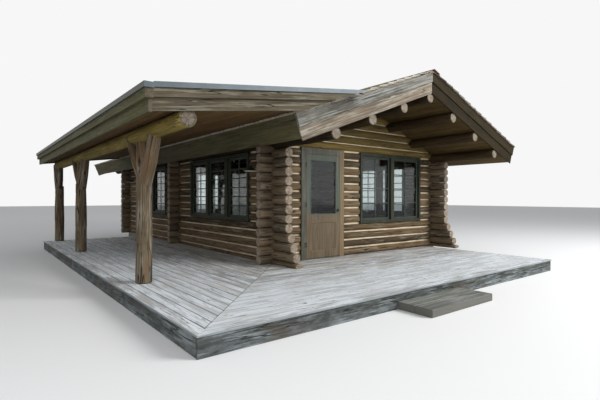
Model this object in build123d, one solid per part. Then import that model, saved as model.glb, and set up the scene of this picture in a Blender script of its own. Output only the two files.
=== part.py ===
from build123d import *
from math import asin, atan, cos, sin
import os

# Log cabin with saddle-notched corners, a lean-to porch on forked tree posts and a wrap-round deck.
# Millimetres. X runs along the door wall, Y runs back along the long side, Z is up from the ground.
# The working corner is where the door wall meets the porch-side wall, outer faces, and the written
# parts are moved so that the origin is under the middle of the whole building.

# Shell
CABIN_W = 5000
CABIN_L = 8930
DECK_TOP = 220
COURSE = 168
LOG_R = 90
LOG_H = 150
LOG_FACETS = 3
POLE_SIDES = 12
END_COURSES = 13
GABLE_COURSES = 6
SIDE_STUB = 390
END_STUB = 240
FLARE = 300
FLARE_COURSES = 4
PLINTH_INSET = 15
FLOOR_T = 40

# Main roof
ROOF_SLOPE = 0.374
EAVE_REACH = 730
GABLE_REACH = 1650
EAVE_HEIGHT = 2400
ROOF_T = 380
COVER_T = 60
PURLIN_R = 100
PURLIN_X = (0, 770, 1590)
PURLIN_SHY = 50
BOARD_T = 40
BARGE_UPPER = 210
BARGE_LOWER = 200
BARGE_STEP = 20
CAP_WING = 190
CAP_T = 6
CAP_REACH = 40

# Porch roof
PORCH_X = -2880
PORCH_HEIGHT = 2410
PORCH_SLOPE = 0.13
PORCH_FRONT = -1900
PORCH_SHORT = 1680
PORCH_T = 265
PORCH_STEP = 45
EDGE_METAL = 60
EDGE_METAL_T = 22
EDGE_UPPER = 100
EDGE_LOWER = 140
BEAM_X = -2380
BEAM_R = 108
BEAM_SHY = 90
POST_FRONT = -280
POST_BACK_REACH = 250
POST_MIDDLE_SHIFT = 700
POST_R = 112
POST_TAPER = 0.95
FORK_HEIGHT = 1330

# Deck and step
DECK_LEFT = -2750
DECK_FRONT = -2870
DECK_SHORT = 1800
DECK_RIGHT_SHY = 320
DECK_T = 25
SKIRT_T = 40
SKIRT_SHY = 12
BEARER_W = 90
BEARER_STEP = 600
STEP_X = (0, 1400)
STEP_DEPTH = 500
STEP_H = 100

# Openings, and the lengths of log wall beside them
DOOR_FROM = 670
DOOR_W = 1120
DOOR_PIER = 500
CORNER_PIER = 600
SIDE_PIER_FRONT = 830
RIB_PIER = 855
SIDE_PIER_BACK = 1500
BACK_WINDOW_W = 2110
SILL_COURSES = 4
SASHES_FRONT = 2
SASHES_SIDE = (3, 2)

# Joinery
FRAME_W = 60
FRAME_PROUD = 12
MULLION_W = 110
SASH_W = 50
SASH_T = 50
GLASS_T = 20
DOOR_JAMB = 110
DOOR_HEAD = 120
DOOR_GAP = 5
DOOR_T = 45
DOOR_STILE = 110
DOOR_LOCK_RAIL = 150
DOOR_GLASS_FROM = 880
THRESHOLD = 25
HINGE_R = 9
HINGE_H = 90
HINGE_GAP = 0.3
HINGES_Z = (250, 1030, 1800)
KNOB_Z = 960
KNOB_R = 28

# Barn lamps
LAMP_FROM_FRONT = 430
LAMP_FROM_BACK = 1080
LAMP_RIM = 1700
LAMP_OUT = 200
SHADE_R = 130
SHADE_H = 110
SHADE_T = 4
NECK_R = 9
NECK_SIDES = 8
PLATE_R = 55

ROOF_RUN = CABIN_W / 2 + EAVE_REACH
PITCH = atan(ROOF_SLOPE)
MIDDLE_X = CABIN_W / 2
WALL_T = 2 * LOG_R
RIB_Y = CABIN_L / 2
EAVE_TOP = DECK_TOP + EAVE_HEIGHT
PORCH_TOP = DECK_TOP + PORCH_HEIGHT
PORCH_BACK = CABIN_L - PORCH_SHORT
FORK_Z = DECK_TOP + FORK_HEIGHT
POST_BACK = PORCH_BACK - POST_BACK_REACH
POST_Y = (POST_FRONT, (POST_FRONT + POST_BACK) / 2 + POST_MIDDLE_SHIFT, POST_BACK)
DECK_BACK = CABIN_L - DECK_SHORT
LAMP_RIM_Z = DECK_TOP + LAMP_RIM
LAMPS_Y = (LAMP_FROM_FRONT, CABIN_L - LAMP_FROM_BACK)
DOOR_X = (DOOR_FROM, DOOR_FROM + DOOR_W)
FRONT_WINDOW_X = (DOOR_X[1] + DOOR_PIER, CABIN_W - CORNER_PIER)
SIDE_WINDOWS_Y = ((SIDE_PIER_FRONT, RIB_Y - RIB_PIER), (RIB_Y + RIB_PIER, CABIN_L - SIDE_PIER_BACK))
BACK_WINDOW_X = (MIDDLE_X - BACK_WINDOW_W / 2, MIDDLE_X + BACK_WINDOW_W / 2)
FLAT_ANGLE = asin(LOG_H / 2 / LOG_R)
LOG_SHY = LOG_R * (1 - cos(FLAT_ANGLE / LOG_FACETS))
RIDGE_TOP = EAVE_TOP + ROOF_SLOPE * ROOF_RUN
ROOF_FRONT = -GABLE_REACH
ROOF_BACK = CABIN_L + GABLE_REACH
DECK_RIGHT = CABIN_W - DECK_RIGHT_SHY
STEP_FRONT = DECK_FRONT - STEP_DEPTH
ORIGIN_X = (PORCH_X - EDGE_METAL_T + CABIN_W + EAVE_REACH) / 2
ORIGIN_Y = (STEP_FRONT + ROOF_BACK + CAP_REACH) / 2


# Small helpers

def solid_box(x0, x1, y0, y1, z0, z1):
    """A box between two corners."""
    size = (x1 - x0, y1 - y0, z1 - z0)
    return Pos((x0 + x1) / 2, (y0 + y1) / 2, (z0 + z1) / 2) * Box(*size)


def ring(outer, inner):
    """What is left of a box once a smaller one is taken out."""
    return solid_box(*outer) - solid_box(*inner)


def prism(points, axis, start, end):
    """Extrude a closed outline: (x, z) points along Y, or (y, z) points along X."""
    if axis == "y":
        corners = [(x, start, z) for x, z in points]
        way = Vector(0, end - start, 0)
    else:
        corners = [(start, y, z) for y, z in points]
        way = Vector(end - start, 0, 0)
    return Solid.extrude(Face(Wire.make_polygon(corners)), way)


def rod(start, end, radius):
    """A round bar from one point to another."""
    way = Vector(*end) - Vector(*start)
    return Solid.make_cylinder(radius, way.length, Plane(origin=start, z_dir=way))


def pole(start, end, radius, end_radius):
    """A drawknifed pole from one point to another, many-sided and tapered."""
    way = Vector(*end) - Vector(*start)
    foot = Plane(origin=start, x_dir=(1, 0, 0), z_dir=way)
    tip = Plane(origin=end, x_dir=(1, 0, 0), z_dir=way)
    ends = [foot * RegularPolygon(radius, POLE_SIDES), tip * RegularPolygon(end_radius, POLE_SIDES)]
    return loft(ends, ruled=True)


def pieces(shape):
    """The separate solids of a shape, a list or a single solid."""
    if isinstance(shape, (list, tuple)):
        return [one for item in shape for one in pieces(item)]
    return list(shape.solids())


PARTS = {}


def keep(name, shape):
    """Hold one node's solids under its name."""
    PARTS[name] = pieces(shape)


def spans(start, end, gaps):
    """The stretches of a run that are left between its gaps."""
    left = []
    at = start
    for gap_start, gap_end in sorted(gaps):
        if gap_start > at:
            left.append((at, gap_start))
        at = max(at, gap_end)
    if end > at:
        left.append((at, end))
    return left


# Logs and their joints

def end_course_z(course):
    """Centre height of a log in the door wall and the back wall, counted from 1."""
    return DECK_TOP + LOG_H / 2 + (course - 1) * COURSE


def side_course_z(course):
    """Centre height of a log in the long walls, half a course higher."""
    return end_course_z(course) + COURSE / 2


def log_section(across, z):
    """Section of a drawknifed log, flat above and below, as (across, z) points."""
    turns = [FLAT_ANGLE * (2 * i / LOG_FACETS - 1) for i in range(LOG_FACETS + 1)]
    right = [(across + LOG_R * cos(t), z + LOG_R * sin(t)) for t in turns]
    left = [(2 * across - u, v) for u, v in reversed(right)]
    return right + left


def wall_log(axis, start, end, across, z):
    """One straight log of a wall."""
    return prism(log_section(across, z), axis, start, end)


def chink_section(across, z):
    """Section of the mortar core between two logs, bedded on the flats of both."""
    flat = LOG_R * cos(FLAT_ANGLE)
    gap = (COURSE - LOG_H) / 2
    left, right = across - flat, across + flat
    return [(left, z - gap), (right, z - gap), (right, z + gap), (left, z + gap)]


def side_stub(course):
    """How far a long wall's log runs past the end wall: the lowest ones flare out."""
    return SIDE_STUB + FLARE * max(0, 1 - course / FLARE_COURSES)


def crossings_x():
    """Centre lines of the two long walls."""
    return (LOG_R, CABIN_W - LOG_R)


def crossings_y():
    """Centre lines of the two end walls and of the rib between them."""
    return (LOG_R, RIB_Y, CABIN_L - LOG_R)


def end_log(course, y, gaps):
    """The pieces of one door-wall or back-wall log, notched over the long walls' logs below it."""
    z = end_course_z(course)
    made = []
    for start, end in spans(-END_STUB, CABIN_W + END_STUB, gaps):
        log = wall_log("x", start, end, y, z)
        for x in crossings_x():
            if start < x < end:
                log -= wall_log("y", y - WALL_T, y + WALL_T, x, side_course_z(course - 1))
        made += pieces(log)
    return made


def side_log(course, x, gaps):
    """The pieces of one long-wall log, notched over the end walls' logs and the rib's below it."""
    z = side_course_z(course)
    reach = side_stub(course)
    made = []
    for start, end in spans(-reach, CABIN_L + reach, gaps):
        log = wall_log("y", start, end, x, z)
        if course == 0:
            log = log & solid_box(x - LOG_R, x + LOG_R, start, end, DECK_TOP, DECK_TOP + LOG_H)
        else:
            for y in crossings_y():
                if start < y < end:
                    log -= wall_log("x", x - WALL_T, x + WALL_T, y, end_course_z(course))
        made += pieces(log)
    return made


# Openings in the walls, as (start, end, bottom, top)

SIDE_SILL = side_course_z(SILL_COURSES) + LOG_H / 2
SIDE_HEAD = side_course_z(END_COURSES) - LOG_H / 2
END_SILL = end_course_z(SILL_COURSES) + LOG_H / 2
END_HEAD = end_course_z(END_COURSES + 1) - LOG_H / 2
SIDE_OPENINGS = [(a, b, SIDE_SILL, SIDE_HEAD) for a, b in SIDE_WINDOWS_Y]
DOOR_OPENING = (*DOOR_X, DECK_TOP, END_HEAD)
FRONT_OPENINGS = [DOOR_OPENING, (*FRONT_WINDOW_X, END_SILL, END_HEAD)]
BACK_OPENINGS = [(*BACK_WINDOW_X, END_SILL, END_HEAD)]


def gaps_at(openings, z):
    """The stretches that the openings take out of a wall at one height."""
    return [(a, b) for a, b, low, high in openings if low < z < high]


# Roof sections, in (x, z)

def roof_point(side, along, depth):
    """A point of the main roof: along the slope from the eave, and square below its top face."""
    run = ROOF_RUN - along * cos(PITCH) - depth * sin(PITCH)
    return (MIDDLE_X + side * run, EAVE_TOP + along * sin(PITCH) - depth * cos(PITCH))


def slope_section(side, depth_0, depth_1, along=0):
    """One layer of a roof slope, from a place near the eave up to the plumb cut at the ridge."""
    def ridge(depth):
        return (MIDDLE_X, RIDGE_TOP - depth / cos(PITCH))
    eave = [roof_point(side, along, depth_1), roof_point(side, along, depth_0)]
    return eave + [ridge(depth_0), ridge(depth_1)]


def under_roof(y0, y1):
    """The space below the soffit, which trims the gable logs and their chinking."""
    drop = ROOF_T / cos(PITCH)
    low = EAVE_TOP - drop
    far = ROOF_RUN + EAVE_REACH
    edge = low - ROOF_SLOPE * EAVE_REACH
    outline = [(MIDDLE_X - far, edge), (MIDDLE_X, RIDGE_TOP - drop), (MIDDLE_X + far, edge)]
    base = [(MIDDLE_X + far, DECK_TOP), (MIDDLE_X - far, DECK_TOP)]
    return prism(outline + base, "y", y0, y1)


def purlin_z(offset):
    """Centre height of a purlin that touches the soffit, at a distance from the middle."""
    return RIDGE_TOP - ROOF_SLOPE * offset - (ROOF_T + PURLIN_R) / cos(PITCH)


def purlin_places():
    """Centre of every purlin and of the ridge log, as (x, z)."""
    places = [(MIDDLE_X, purlin_z(0))]
    for offset in PURLIN_X[1:]:
        places += [(MIDDLE_X + side * offset, purlin_z(offset)) for side in (-1, 1)]
    return places


PLATE_Z = purlin_z(MIDDLE_X - LOG_R)
PURLIN_FRONT = ROOF_FRONT + PURLIN_SHY
PURLIN_BACK = ROOF_BACK - PURLIN_SHY


def plate_log(x):
    """The top log of a long wall, a round one that runs out to the barge boards."""
    log = rod((x, PURLIN_FRONT, PLATE_Z), (x, PURLIN_BACK, PLATE_Z), PURLIN_R)
    low = PLATE_Z - 2 * PURLIN_R
    log -= solid_box(x - LOG_R, x + LOG_R, PURLIN_FRONT, PURLIN_BACK, low, SIDE_HEAD)
    for y in crossings_y():
        log -= wall_log("x", x - WALL_T, x + WALL_T, y, end_course_z(END_COURSES))
    return log


# Walls

def trim_gable(piece, y, z):
    """Slope a gable log or strip under the roof, and cut it round the plates, purlins and ridge."""
    piece = piece & under_roof(y - LOG_R, y + LOG_R)
    for x, height in [(x, PLATE_Z) for x in crossings_x()] + purlin_places():
        if abs(height - z) < PURLIN_R + LOG_H / 2:
            piece -= rod((x, y - WALL_T, height), (x, y + WALL_T, height), PURLIN_R)
    return pieces(piece)


def gable_log(course, y):
    """The pieces of one gable log between the purlins."""
    z = end_course_z(course)
    return trim_gable(wall_log("x", -END_STUB, CABIN_W + END_STUB, y, z), y, z)


def end_chinking(course, y, openings):
    """The mortar on top of one end-wall course."""
    z = end_course_z(course) + COURSE / 2
    gaps = gaps_at(openings, z)
    section = chink_section(y, z)
    made = [prism(section, "x", a, b) for a, b in spans(WALL_T, CABIN_W - WALL_T, gaps)]
    if course >= END_COURSES:
        made = [trim_gable(strip, y, z) for strip in made]
    return made


def side_chinking(course, x, openings):
    """The mortar on top of one long-wall course."""
    z = side_course_z(course) + COURSE / 2
    gaps = gaps_at(openings, z) + [(RIB_Y - LOG_R, RIB_Y + LOG_R)]
    section = chink_section(x, z)
    return [prism(section, "y", a, b) for a, b in spans(WALL_T, CABIN_L - WALL_T, gaps)]


def rib_stub(course, x, outward):
    """A short crossing log halfway along a long wall, which stiffens it and shows outside."""
    z = end_course_z(course)
    tail = x - outward * LOG_R
    tip = x + outward * (LOG_R + END_STUB)
    stub = wall_log("x", min(tail, tip), max(tail, tip), RIB_Y, z)
    stub -= wall_log("y", RIB_Y - WALL_T, RIB_Y + WALL_T, x, side_course_z(course - 1))
    return pieces(stub)


def build_walls():
    """Every log and every strip of chinking."""
    left_x, right_x = crossings_x()
    front_y, back_y = LOG_R, CABIN_L - LOG_R
    front = {"front_wall_left": [], "front_wall_right": []}
    for course in range(1, END_COURSES + 1):
        for log in end_log(course, front_y, gaps_at(FRONT_OPENINGS, end_course_z(course))):
            side = "left" if log.center().X < DOOR_X[0] else "right"
            front["front_wall_" + side].append(log)
    for name, logs in front.items():
        keep(name, logs)
    back = []
    for course in range(1, END_COURSES + 1):
        back += end_log(course, back_y, gaps_at(BACK_OPENINGS, end_course_z(course)))
    keep("back_wall", back)
    gable_courses = range(END_COURSES + 1, END_COURSES + GABLE_COURSES + 1)
    keep("front_gable", [gable_log(course, front_y) for course in gable_courses])
    keep("back_gable", [gable_log(course, back_y) for course in gable_courses])
    chinks = []
    stubs = []
    for name, x, outward in (("left", left_x, -1), ("right", right_x, 1)):
        logs = []
        for course in range(END_COURSES):
            logs += side_log(course, x, gaps_at(SIDE_OPENINGS, side_course_z(course)))
            chinks += side_chinking(course, x, SIDE_OPENINGS)
        keep(name + "_wall", logs)
        stubs += [rib_stub(course, x, outward) for course in range(1, END_COURSES + 1)]
    keep("plate_logs", [plate_log(x) for x in crossings_x()])
    keep("rib_stubs", stubs)
    keep("side_chinking", chinks)
    strips = []
    for y, openings in ((front_y, FRONT_OPENINGS), (back_y, BACK_OPENINGS)):
        for course in range(1, END_COURSES + GABLE_COURSES):
            strips += end_chinking(course, y, openings)
    keep("end_chinking", strips)


# Floor and plinth

def build_base():
    """The masonry plinth under the logs and the floor inside it."""
    inset = PLINTH_INSET
    outer = (inset, CABIN_W - inset, inset, CABIN_L - inset, 0, DECK_TOP)
    inner = (WALL_T, CABIN_W - WALL_T, WALL_T, CABIN_L - WALL_T, 0, DECK_TOP)
    keep("plinth", ring(outer, inner))
    floor_top = DECK_TOP
    keep("floor", solid_box(*inner[:4], floor_top - FLOOR_T, floor_top))


# Main roof

def build_roof():
    """Panels, covering, boards, ridge cap and purlins."""
    board_front = ROOF_FRONT + BOARD_T
    board_back = ROOF_BACK - BOARD_T
    fascia = []
    for name, side in (("left", -1), ("right", 1)):
        panel = slope_section(side, COVER_T, ROOF_T, BOARD_T)
        cover = slope_section(side, 0, COVER_T, BOARD_T)
        keep("roof_panel_" + name, prism(panel, "y", board_front, board_back))
        keep("roof_covering_" + name, prism(cover, "y", board_front, board_back))
        near = [roof_point(side, 0, 0), roof_point(side, 0, ROOF_T)]
        far = [roof_point(side, BOARD_T, ROOF_T), roof_point(side, BOARD_T, 0)]
        fascia.append(prism(near + far, "y", board_front, board_back))
    keep("eave_fascia", fascia)
    for name, face, inward in (("front", ROOF_FRONT, 1), ("back", ROOF_BACK, -1)):
        boards = []
        for side in (-1, 1):
            upper = slope_section(side, 0, BARGE_UPPER)
            lower = slope_section(side, BARGE_UPPER, BARGE_UPPER + BARGE_LOWER)
            seat = face + inward * BOARD_T
            step = face + inward * BARGE_STEP
            boards += [prism(upper, "y", face, seat), prism(lower, "y", step, seat)]
        keep("barge_boards_" + name, boards)
    wing_run = CAP_WING * cos(PITCH)
    wing_drop = CAP_WING * sin(PITCH)
    thick = CAP_T / cos(PITCH)
    top = [(MIDDLE_X - wing_run, RIDGE_TOP - wing_drop), (MIDDLE_X, RIDGE_TOP)]
    top += [(MIDDLE_X + wing_run, RIDGE_TOP - wing_drop)]
    raised = [(x, z + thick) for x, z in reversed(top)]
    keep("ridge_cap", prism(top + raised, "y", ROOF_FRONT - CAP_REACH, ROOF_BACK + CAP_REACH))
    logs = [rod((x, PURLIN_FRONT, z), (x, PURLIN_BACK, z), PURLIN_R) for x, z in purlin_places()]
    keep("ridge_log_and_purlins", logs)


# Porch roof

def porch_z(x, depth=0):
    """Height of the porch roof's top face, or of a layer below it."""
    return PORCH_TOP + PORCH_SLOPE * (x - PORCH_X) - depth


def main_roof_z(x):
    """Height of the main roof's left slope."""
    return EAVE_TOP + ROOF_SLOPE * (x + EAVE_REACH)


def porch_meets(depth):
    """Where a layer of the porch roof runs into the main roof."""
    start = PORCH_TOP - depth - PORCH_SLOPE * PORCH_X
    return (start - EAVE_TOP - ROOF_SLOPE * EAVE_REACH) / (ROOF_SLOPE - PORCH_SLOPE)


def porch_layer(depth_0, depth_1, x_start):
    """Section of one layer of the porch roof, trimmed by the main roof's slope."""
    x_top = porch_meets(depth_0)
    x_low = porch_meets(depth_1)
    near = [(x_start, porch_z(x_start, depth_1)), (x_start, porch_z(x_start, depth_0))]
    far = [(x_top, main_roof_z(x_top)), (x_low, main_roof_z(x_low))]
    return near + far


def build_porch_roof():
    """Deck, covering, edge boards and the metal edge."""
    packing = PORCH_STEP + BOARD_T
    inner_x = PORCH_X + packing
    inner_front = PORCH_FRONT + packing
    inner_back = PORCH_BACK - packing
    cover = porch_layer(0, EDGE_METAL, inner_x)
    panel = porch_layer(EDGE_METAL, PORCH_T, inner_x)
    keep("porch_roof_covering", prism(cover, "y", inner_front, inner_back))
    keep("porch_roof_panel", prism(panel, "y", inner_front, inner_back))
    upper_low = EDGE_METAL + EDGE_UPPER
    lower_low = upper_low + EDGE_LOWER
    lower_x = PORCH_X + PORCH_STEP
    boards = []
    for y0, y1, step_y0, step_y1 in (
        (PORCH_FRONT, inner_front, PORCH_FRONT + PORCH_STEP, inner_front),
        (inner_back, PORCH_BACK, inner_back, PORCH_BACK - PORCH_STEP),
    ):
        boards.append(prism(porch_layer(EDGE_METAL, upper_low, inner_x), "y", y0, y1))
        end_x = -EAVE_REACH
        lower = [
            (inner_x, porch_z(inner_x, lower_low)),
            (inner_x, porch_z(inner_x, upper_low)),
            (porch_meets(upper_low), main_roof_z(porch_meets(upper_low))),
            (end_x, EAVE_TOP),
            (end_x, porch_z(end_x, lower_low)),
        ]
        boards.append(prism(lower, "y", step_y0, step_y1))
    keep("porch_edge_boards_ends", boards)
    side_upper = solid_box(
        PORCH_X, inner_x, PORCH_FRONT, PORCH_BACK,
        porch_z(PORCH_X, upper_low), porch_z(PORCH_X, EDGE_METAL),
    )
    side_lower = solid_box(
        lower_x, inner_x, PORCH_FRONT + PORCH_STEP, PORCH_BACK - PORCH_STEP,
        porch_z(PORCH_X, lower_low), porch_z(PORCH_X, upper_low),
    )
    keep("porch_edge_boards_side", [side_upper, side_lower])
    metal = [
        solid_box(
            PORCH_X - EDGE_METAL_T, inner_x, PORCH_FRONT - EDGE_METAL_T, PORCH_BACK + EDGE_METAL_T,
            porch_z(PORCH_X, EDGE_METAL), porch_z(PORCH_X, 0),
        )
    ]
    for y0, y1 in ((PORCH_FRONT - EDGE_METAL_T, inner_front), (inner_back, PORCH_BACK + EDGE_METAL_T)):
        metal.append(prism(porch_layer(0, EDGE_METAL, inner_x), "y", y0, y1))
    keep("porch_edge_metal", metal)


# Porch beam and posts

BEAM_Z = porch_z(BEAM_X, PORCH_T) - BEAM_R / cos(atan(PORCH_SLOPE))
BEAM_FRONT = PORCH_FRONT + BEAM_SHY
BEAM_BACK = PORCH_BACK - BEAM_SHY


def beam():
    """The round log that carries the porch roof's outer edge."""
    return rod((BEAM_X, BEAM_FRONT, BEAM_Z), (BEAM_X, BEAM_BACK, BEAM_Z), BEAM_R)


# Each prong of the fork: reach along the beam, reach outward, radius below and above
PRONGS = ((-480, 0, 94, 84), (180, 10, 70, 58), (480, -70, 58, 44))


def forked_post(y, way):
    """A young tree's trunk with its fork, seated against the underside of the beam."""
    trunk = pole((BEAM_X, y, DECK_TOP), (BEAM_X, y, FORK_Z), POST_R, POST_R * POST_TAPER)
    for along, outward, low_r, top_r in PRONGS:
        foot = (BEAM_X, y, FORK_Z - 2 * POST_R)
        tip = (BEAM_X + outward, y + way * along, BEAM_Z)
        trunk = trunk + pole(foot, tip, low_r, top_r)
    return trunk - beam()


def build_porch_frame():
    """Beam and posts."""
    keep("porch_beam", beam())
    for number, y in enumerate(POST_Y, start=1):
        way = 1 if number < len(POST_Y) else -1
        keep(f"porch_post_{number}", forked_post(y, way))


# Deck and step

def build_deck():
    """Board layer with its mitred corner, skirt planks, bearers and the step."""
    low = DECK_TOP - DECK_T
    front = [(DECK_LEFT, DECK_FRONT), (DECK_RIGHT, DECK_FRONT), (DECK_RIGHT, 0), (0, 0)]
    side = [(DECK_LEFT, DECK_FRONT), (0, 0), (0, DECK_BACK), (DECK_LEFT, DECK_BACK)]
    for name, outline in (("front", front), ("side", side)):
        face = Face(Wire.make_polygon([(x, y, low) for x, y in outline]))
        keep("deck_boards_" + name, Solid.extrude(face, Vector(0, 0, DECK_T)))
    x0 = DECK_LEFT + SKIRT_SHY
    y0 = DECK_FRONT + SKIRT_SHY
    x1 = DECK_RIGHT - SKIRT_SHY
    y1 = DECK_BACK - SKIRT_SHY
    keep("deck_skirt", [
        solid_box(x0, x1, y0, y0 + SKIRT_T, 0, low),
        solid_box(x0, x0 + SKIRT_T, y0 + SKIRT_T, y1, 0, low),
        solid_box(x1 - SKIRT_T, x1, y0 + SKIRT_T, 0, 0, low),
        solid_box(x0 + SKIRT_T, 0, y1 - SKIRT_T, y1, 0, low),
    ])
    bearers = []
    inner = y0 + SKIRT_T
    count = int((y1 - SKIRT_T - inner) / BEARER_STEP)
    for number in range(count):
        y = inner + (number + 1) * (y1 - SKIRT_T - inner) / (count + 1) - BEARER_W / 2
        end = x1 - SKIRT_T if y + BEARER_W < 0 else PLINTH_INSET
        bearers.append(solid_box(x0 + SKIRT_T, end, y, y + BEARER_W, 0, low))
    keep("deck_bearers", bearers)
    keep("entry_step", solid_box(*STEP_X, STEP_FRONT, y0, 0, STEP_H))


# Windows, made lying in a wall's own plane: u along the wall, w out through it, z up

def place(shape, axis, outer, outward):
    """Turn a piece made for the door wall so that its outside lies on another wall's outer face."""
    if axis == "x":
        return shape if outward < 0 else mirror(Pos(0, -outer, 0) * shape, Plane.XZ)
    turned = mirror(Rot(0, 0, 90) * shape, Plane.YZ)
    return turned if outward < 0 else Pos(outer, 0, 0) * mirror(turned, Plane.YZ)


def window_frame(opening, sashes):
    """Box frame through the wall with mullions, and the casing boards outside."""
    u0, u1, z0, z1 = opening
    front = -FRAME_PROUD
    frame = solid_box(u0, u1, front, WALL_T + FRAME_PROUD, z0, z1)
    for a, b, low, high in lights(opening, sashes):
        frame -= solid_box(a, b, front, WALL_T + FRAME_PROUD, low, high)
    return frame


def lights(opening, sashes):
    """The clear openings between a window frame's members."""
    u0, u1, z0, z1 = opening
    clear = u1 - u0 - 2 * FRAME_W - (sashes - 1) * MULLION_W
    width = clear / sashes
    left = [u0 + FRAME_W + n * (width + MULLION_W) for n in range(sashes)]
    return [(a, a + width, z0 + FRAME_W, z1 - FRAME_W) for a in left]


def window_sashes(opening, sashes):
    """The sash round each light."""
    y0 = WALL_T / 2 - SASH_T
    made = []
    for a, b, low, high in lights(opening, sashes):
        outer = (a, b, y0, y0 + SASH_T, low, high)
        inner = (a + SASH_W, b - SASH_W, y0, y0 + SASH_T, low + SASH_W, high - SASH_W)
        made.append(ring(outer, inner))
    return made


def window_glass(opening, sashes):
    """The pane of each sash."""
    y0 = WALL_T / 2 - SASH_T / 2 - GLASS_T / 2
    edge = SASH_W
    return [
        solid_box(a + edge, b - edge, y0, y0 + GLASS_T, low + edge, high - edge)
        for a, b, low, high in lights(opening, sashes)
    ]


def build_windows():
    """Every window's frame, sashes and panes."""
    walls = (
        (FRONT_OPENINGS[1:], (SASHES_FRONT,), "x", 0, -1),
        (BACK_OPENINGS, (SASHES_FRONT,), "x", CABIN_L, 1),
        (SIDE_OPENINGS, SASHES_SIDE, "y", 0, -1),
        (SIDE_OPENINGS, SASHES_SIDE, "y", CABIN_W, 1),
    )
    kinds = {"window_frames": window_frame, "window_sashes": window_sashes, "window_glass": window_glass}
    for kind, make in kinds.items():
        placed = []
        for openings, sashes, axis, outer, outward in walls:
            shapes = [make(opening, count) for opening, count in zip(openings, sashes)]
            placed += [place(shape, axis, outer, outward) for shape in pieces(shapes)]
        keep(kind, placed)


# Front door

LEAF_X = (DOOR_X[0] + DOOR_JAMB + DOOR_GAP, DOOR_X[1] - DOOR_JAMB - DOOR_GAP)
LEAF_Z = (DECK_TOP + THRESHOLD + DOOR_GAP, END_HEAD - DOOR_HEAD - DOOR_GAP)
HINGE_X = LEAF_X[0] - DOOR_GAP / 2
LEAF_FRONT = -FRAME_PROUD
HINGE_Y = LEAF_FRONT - HINGE_R - HINGE_GAP


def hinge_part(levels, leaf_side):
    """Barrels stacked on the hinge line, each with its plate on the door or on the jamb."""
    made = []
    for z0, z1 in levels:
        barrel = rod((HINGE_X, HINGE_Y, z0), (HINGE_X, HINGE_Y, z1), HINGE_R)
        reach = HINGE_X + leaf_side * (HINGE_R + DOOR_GAP + KNOB_R)
        x0, x1 = min(HINGE_X, reach), max(HINGE_X, reach)
        plate = solid_box(x0, x1, LEAF_FRONT - HINGE_GAP - HINGE_R / 2, LEAF_FRONT, z0, z1)
        made.append(barrel + plate)
    return made


def build_door():
    """Frame, leaf with its half light, glass, hinges and knob."""
    front = -FRAME_PROUD
    back = WALL_T + FRAME_PROUD
    outer = (*DOOR_X, front, back, DECK_TOP, END_HEAD)
    frame = solid_box(*outer)
    inner_x = (DOOR_X[0] + DOOR_JAMB, DOOR_X[1] - DOOR_JAMB)
    frame -= solid_box(*inner_x, front, back, DECK_TOP + THRESHOLD, END_HEAD - DOOR_HEAD)
    keep("door_frame", frame)
    leaf = solid_box(*LEAF_X, LEAF_FRONT, LEAF_FRONT + DOOR_T, *LEAF_Z)
    light_x = (LEAF_X[0] + DOOR_STILE, LEAF_X[1] - DOOR_STILE)
    light_z = (DECK_TOP + DOOR_GLASS_FROM, LEAF_Z[1] - DOOR_STILE)
    leaf -= solid_box(*light_x, LEAF_FRONT, LEAF_FRONT + DOOR_T, *light_z)
    panel_z = (LEAF_Z[0] + DOOR_LOCK_RAIL, light_z[0] - DOOR_LOCK_RAIL)
    leaf -= solid_box(*light_x, LEAF_FRONT, LEAF_FRONT + DOOR_T / 4, *panel_z)
    third = HINGE_H / 3
    own = [(DECK_TOP + z + third + HINGE_GAP, DECK_TOP + z + 2 * third - HINGE_GAP) for z in HINGES_Z]
    for piece in hinge_part(own, 1):
        leaf = leaf + piece
    pane_y = LEAF_FRONT + (DOOR_T - GLASS_T) / 2
    keep("door_glass", solid_box(*light_x, pane_y, pane_y + GLASS_T, *light_z))
    levels = []
    for z in HINGES_Z:
        levels += [(DECK_TOP + z, DECK_TOP + z + third), (DECK_TOP + z + 2 * third, DECK_TOP + z + HINGE_H)]
    keep("door_hinges", hinge_part(levels, -1))
    knob_x = LEAF_X[1] - DOOR_STILE / 2
    knob_z = DECK_TOP + KNOB_Z
    neck_y = LEAF_FRONT - KNOB_R
    leaf = leaf + rod((knob_x, neck_y, knob_z), (knob_x, LEAF_FRONT, knob_z), KNOB_R / 2)
    leaf = leaf + rod((knob_x, neck_y - KNOB_R, knob_z), (knob_x, neck_y, knob_z), KNOB_R)
    keep("door_leaf", leaf)


# Lamps

def lamp_arm(y):
    """Wall plate and gooseneck of a barn lamp."""
    plate_z = LAMP_RIM_Z + SHADE_H + NECK_R
    plate = rod((LOG_SHY, y, plate_z), (-2 * NECK_R, y, plate_z), PLATE_R)
    top = LAMP_RIM_Z + SHADE_H
    rise = LAMP_OUT / 2
    bent = FilletPolyline(
        (-NECK_R, y, plate_z), (-LAMP_OUT / 4, y, plate_z + rise),
        (-LAMP_OUT, y, plate_z + rise), (-LAMP_OUT, y, top), radius=rise / 3,
    )
    section = Plane(origin=bent @ 0, z_dir=bent % 0) * RegularPolygon(NECK_R, NECK_SIDES)
    return plate + sweep(section, path=bent)


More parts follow.
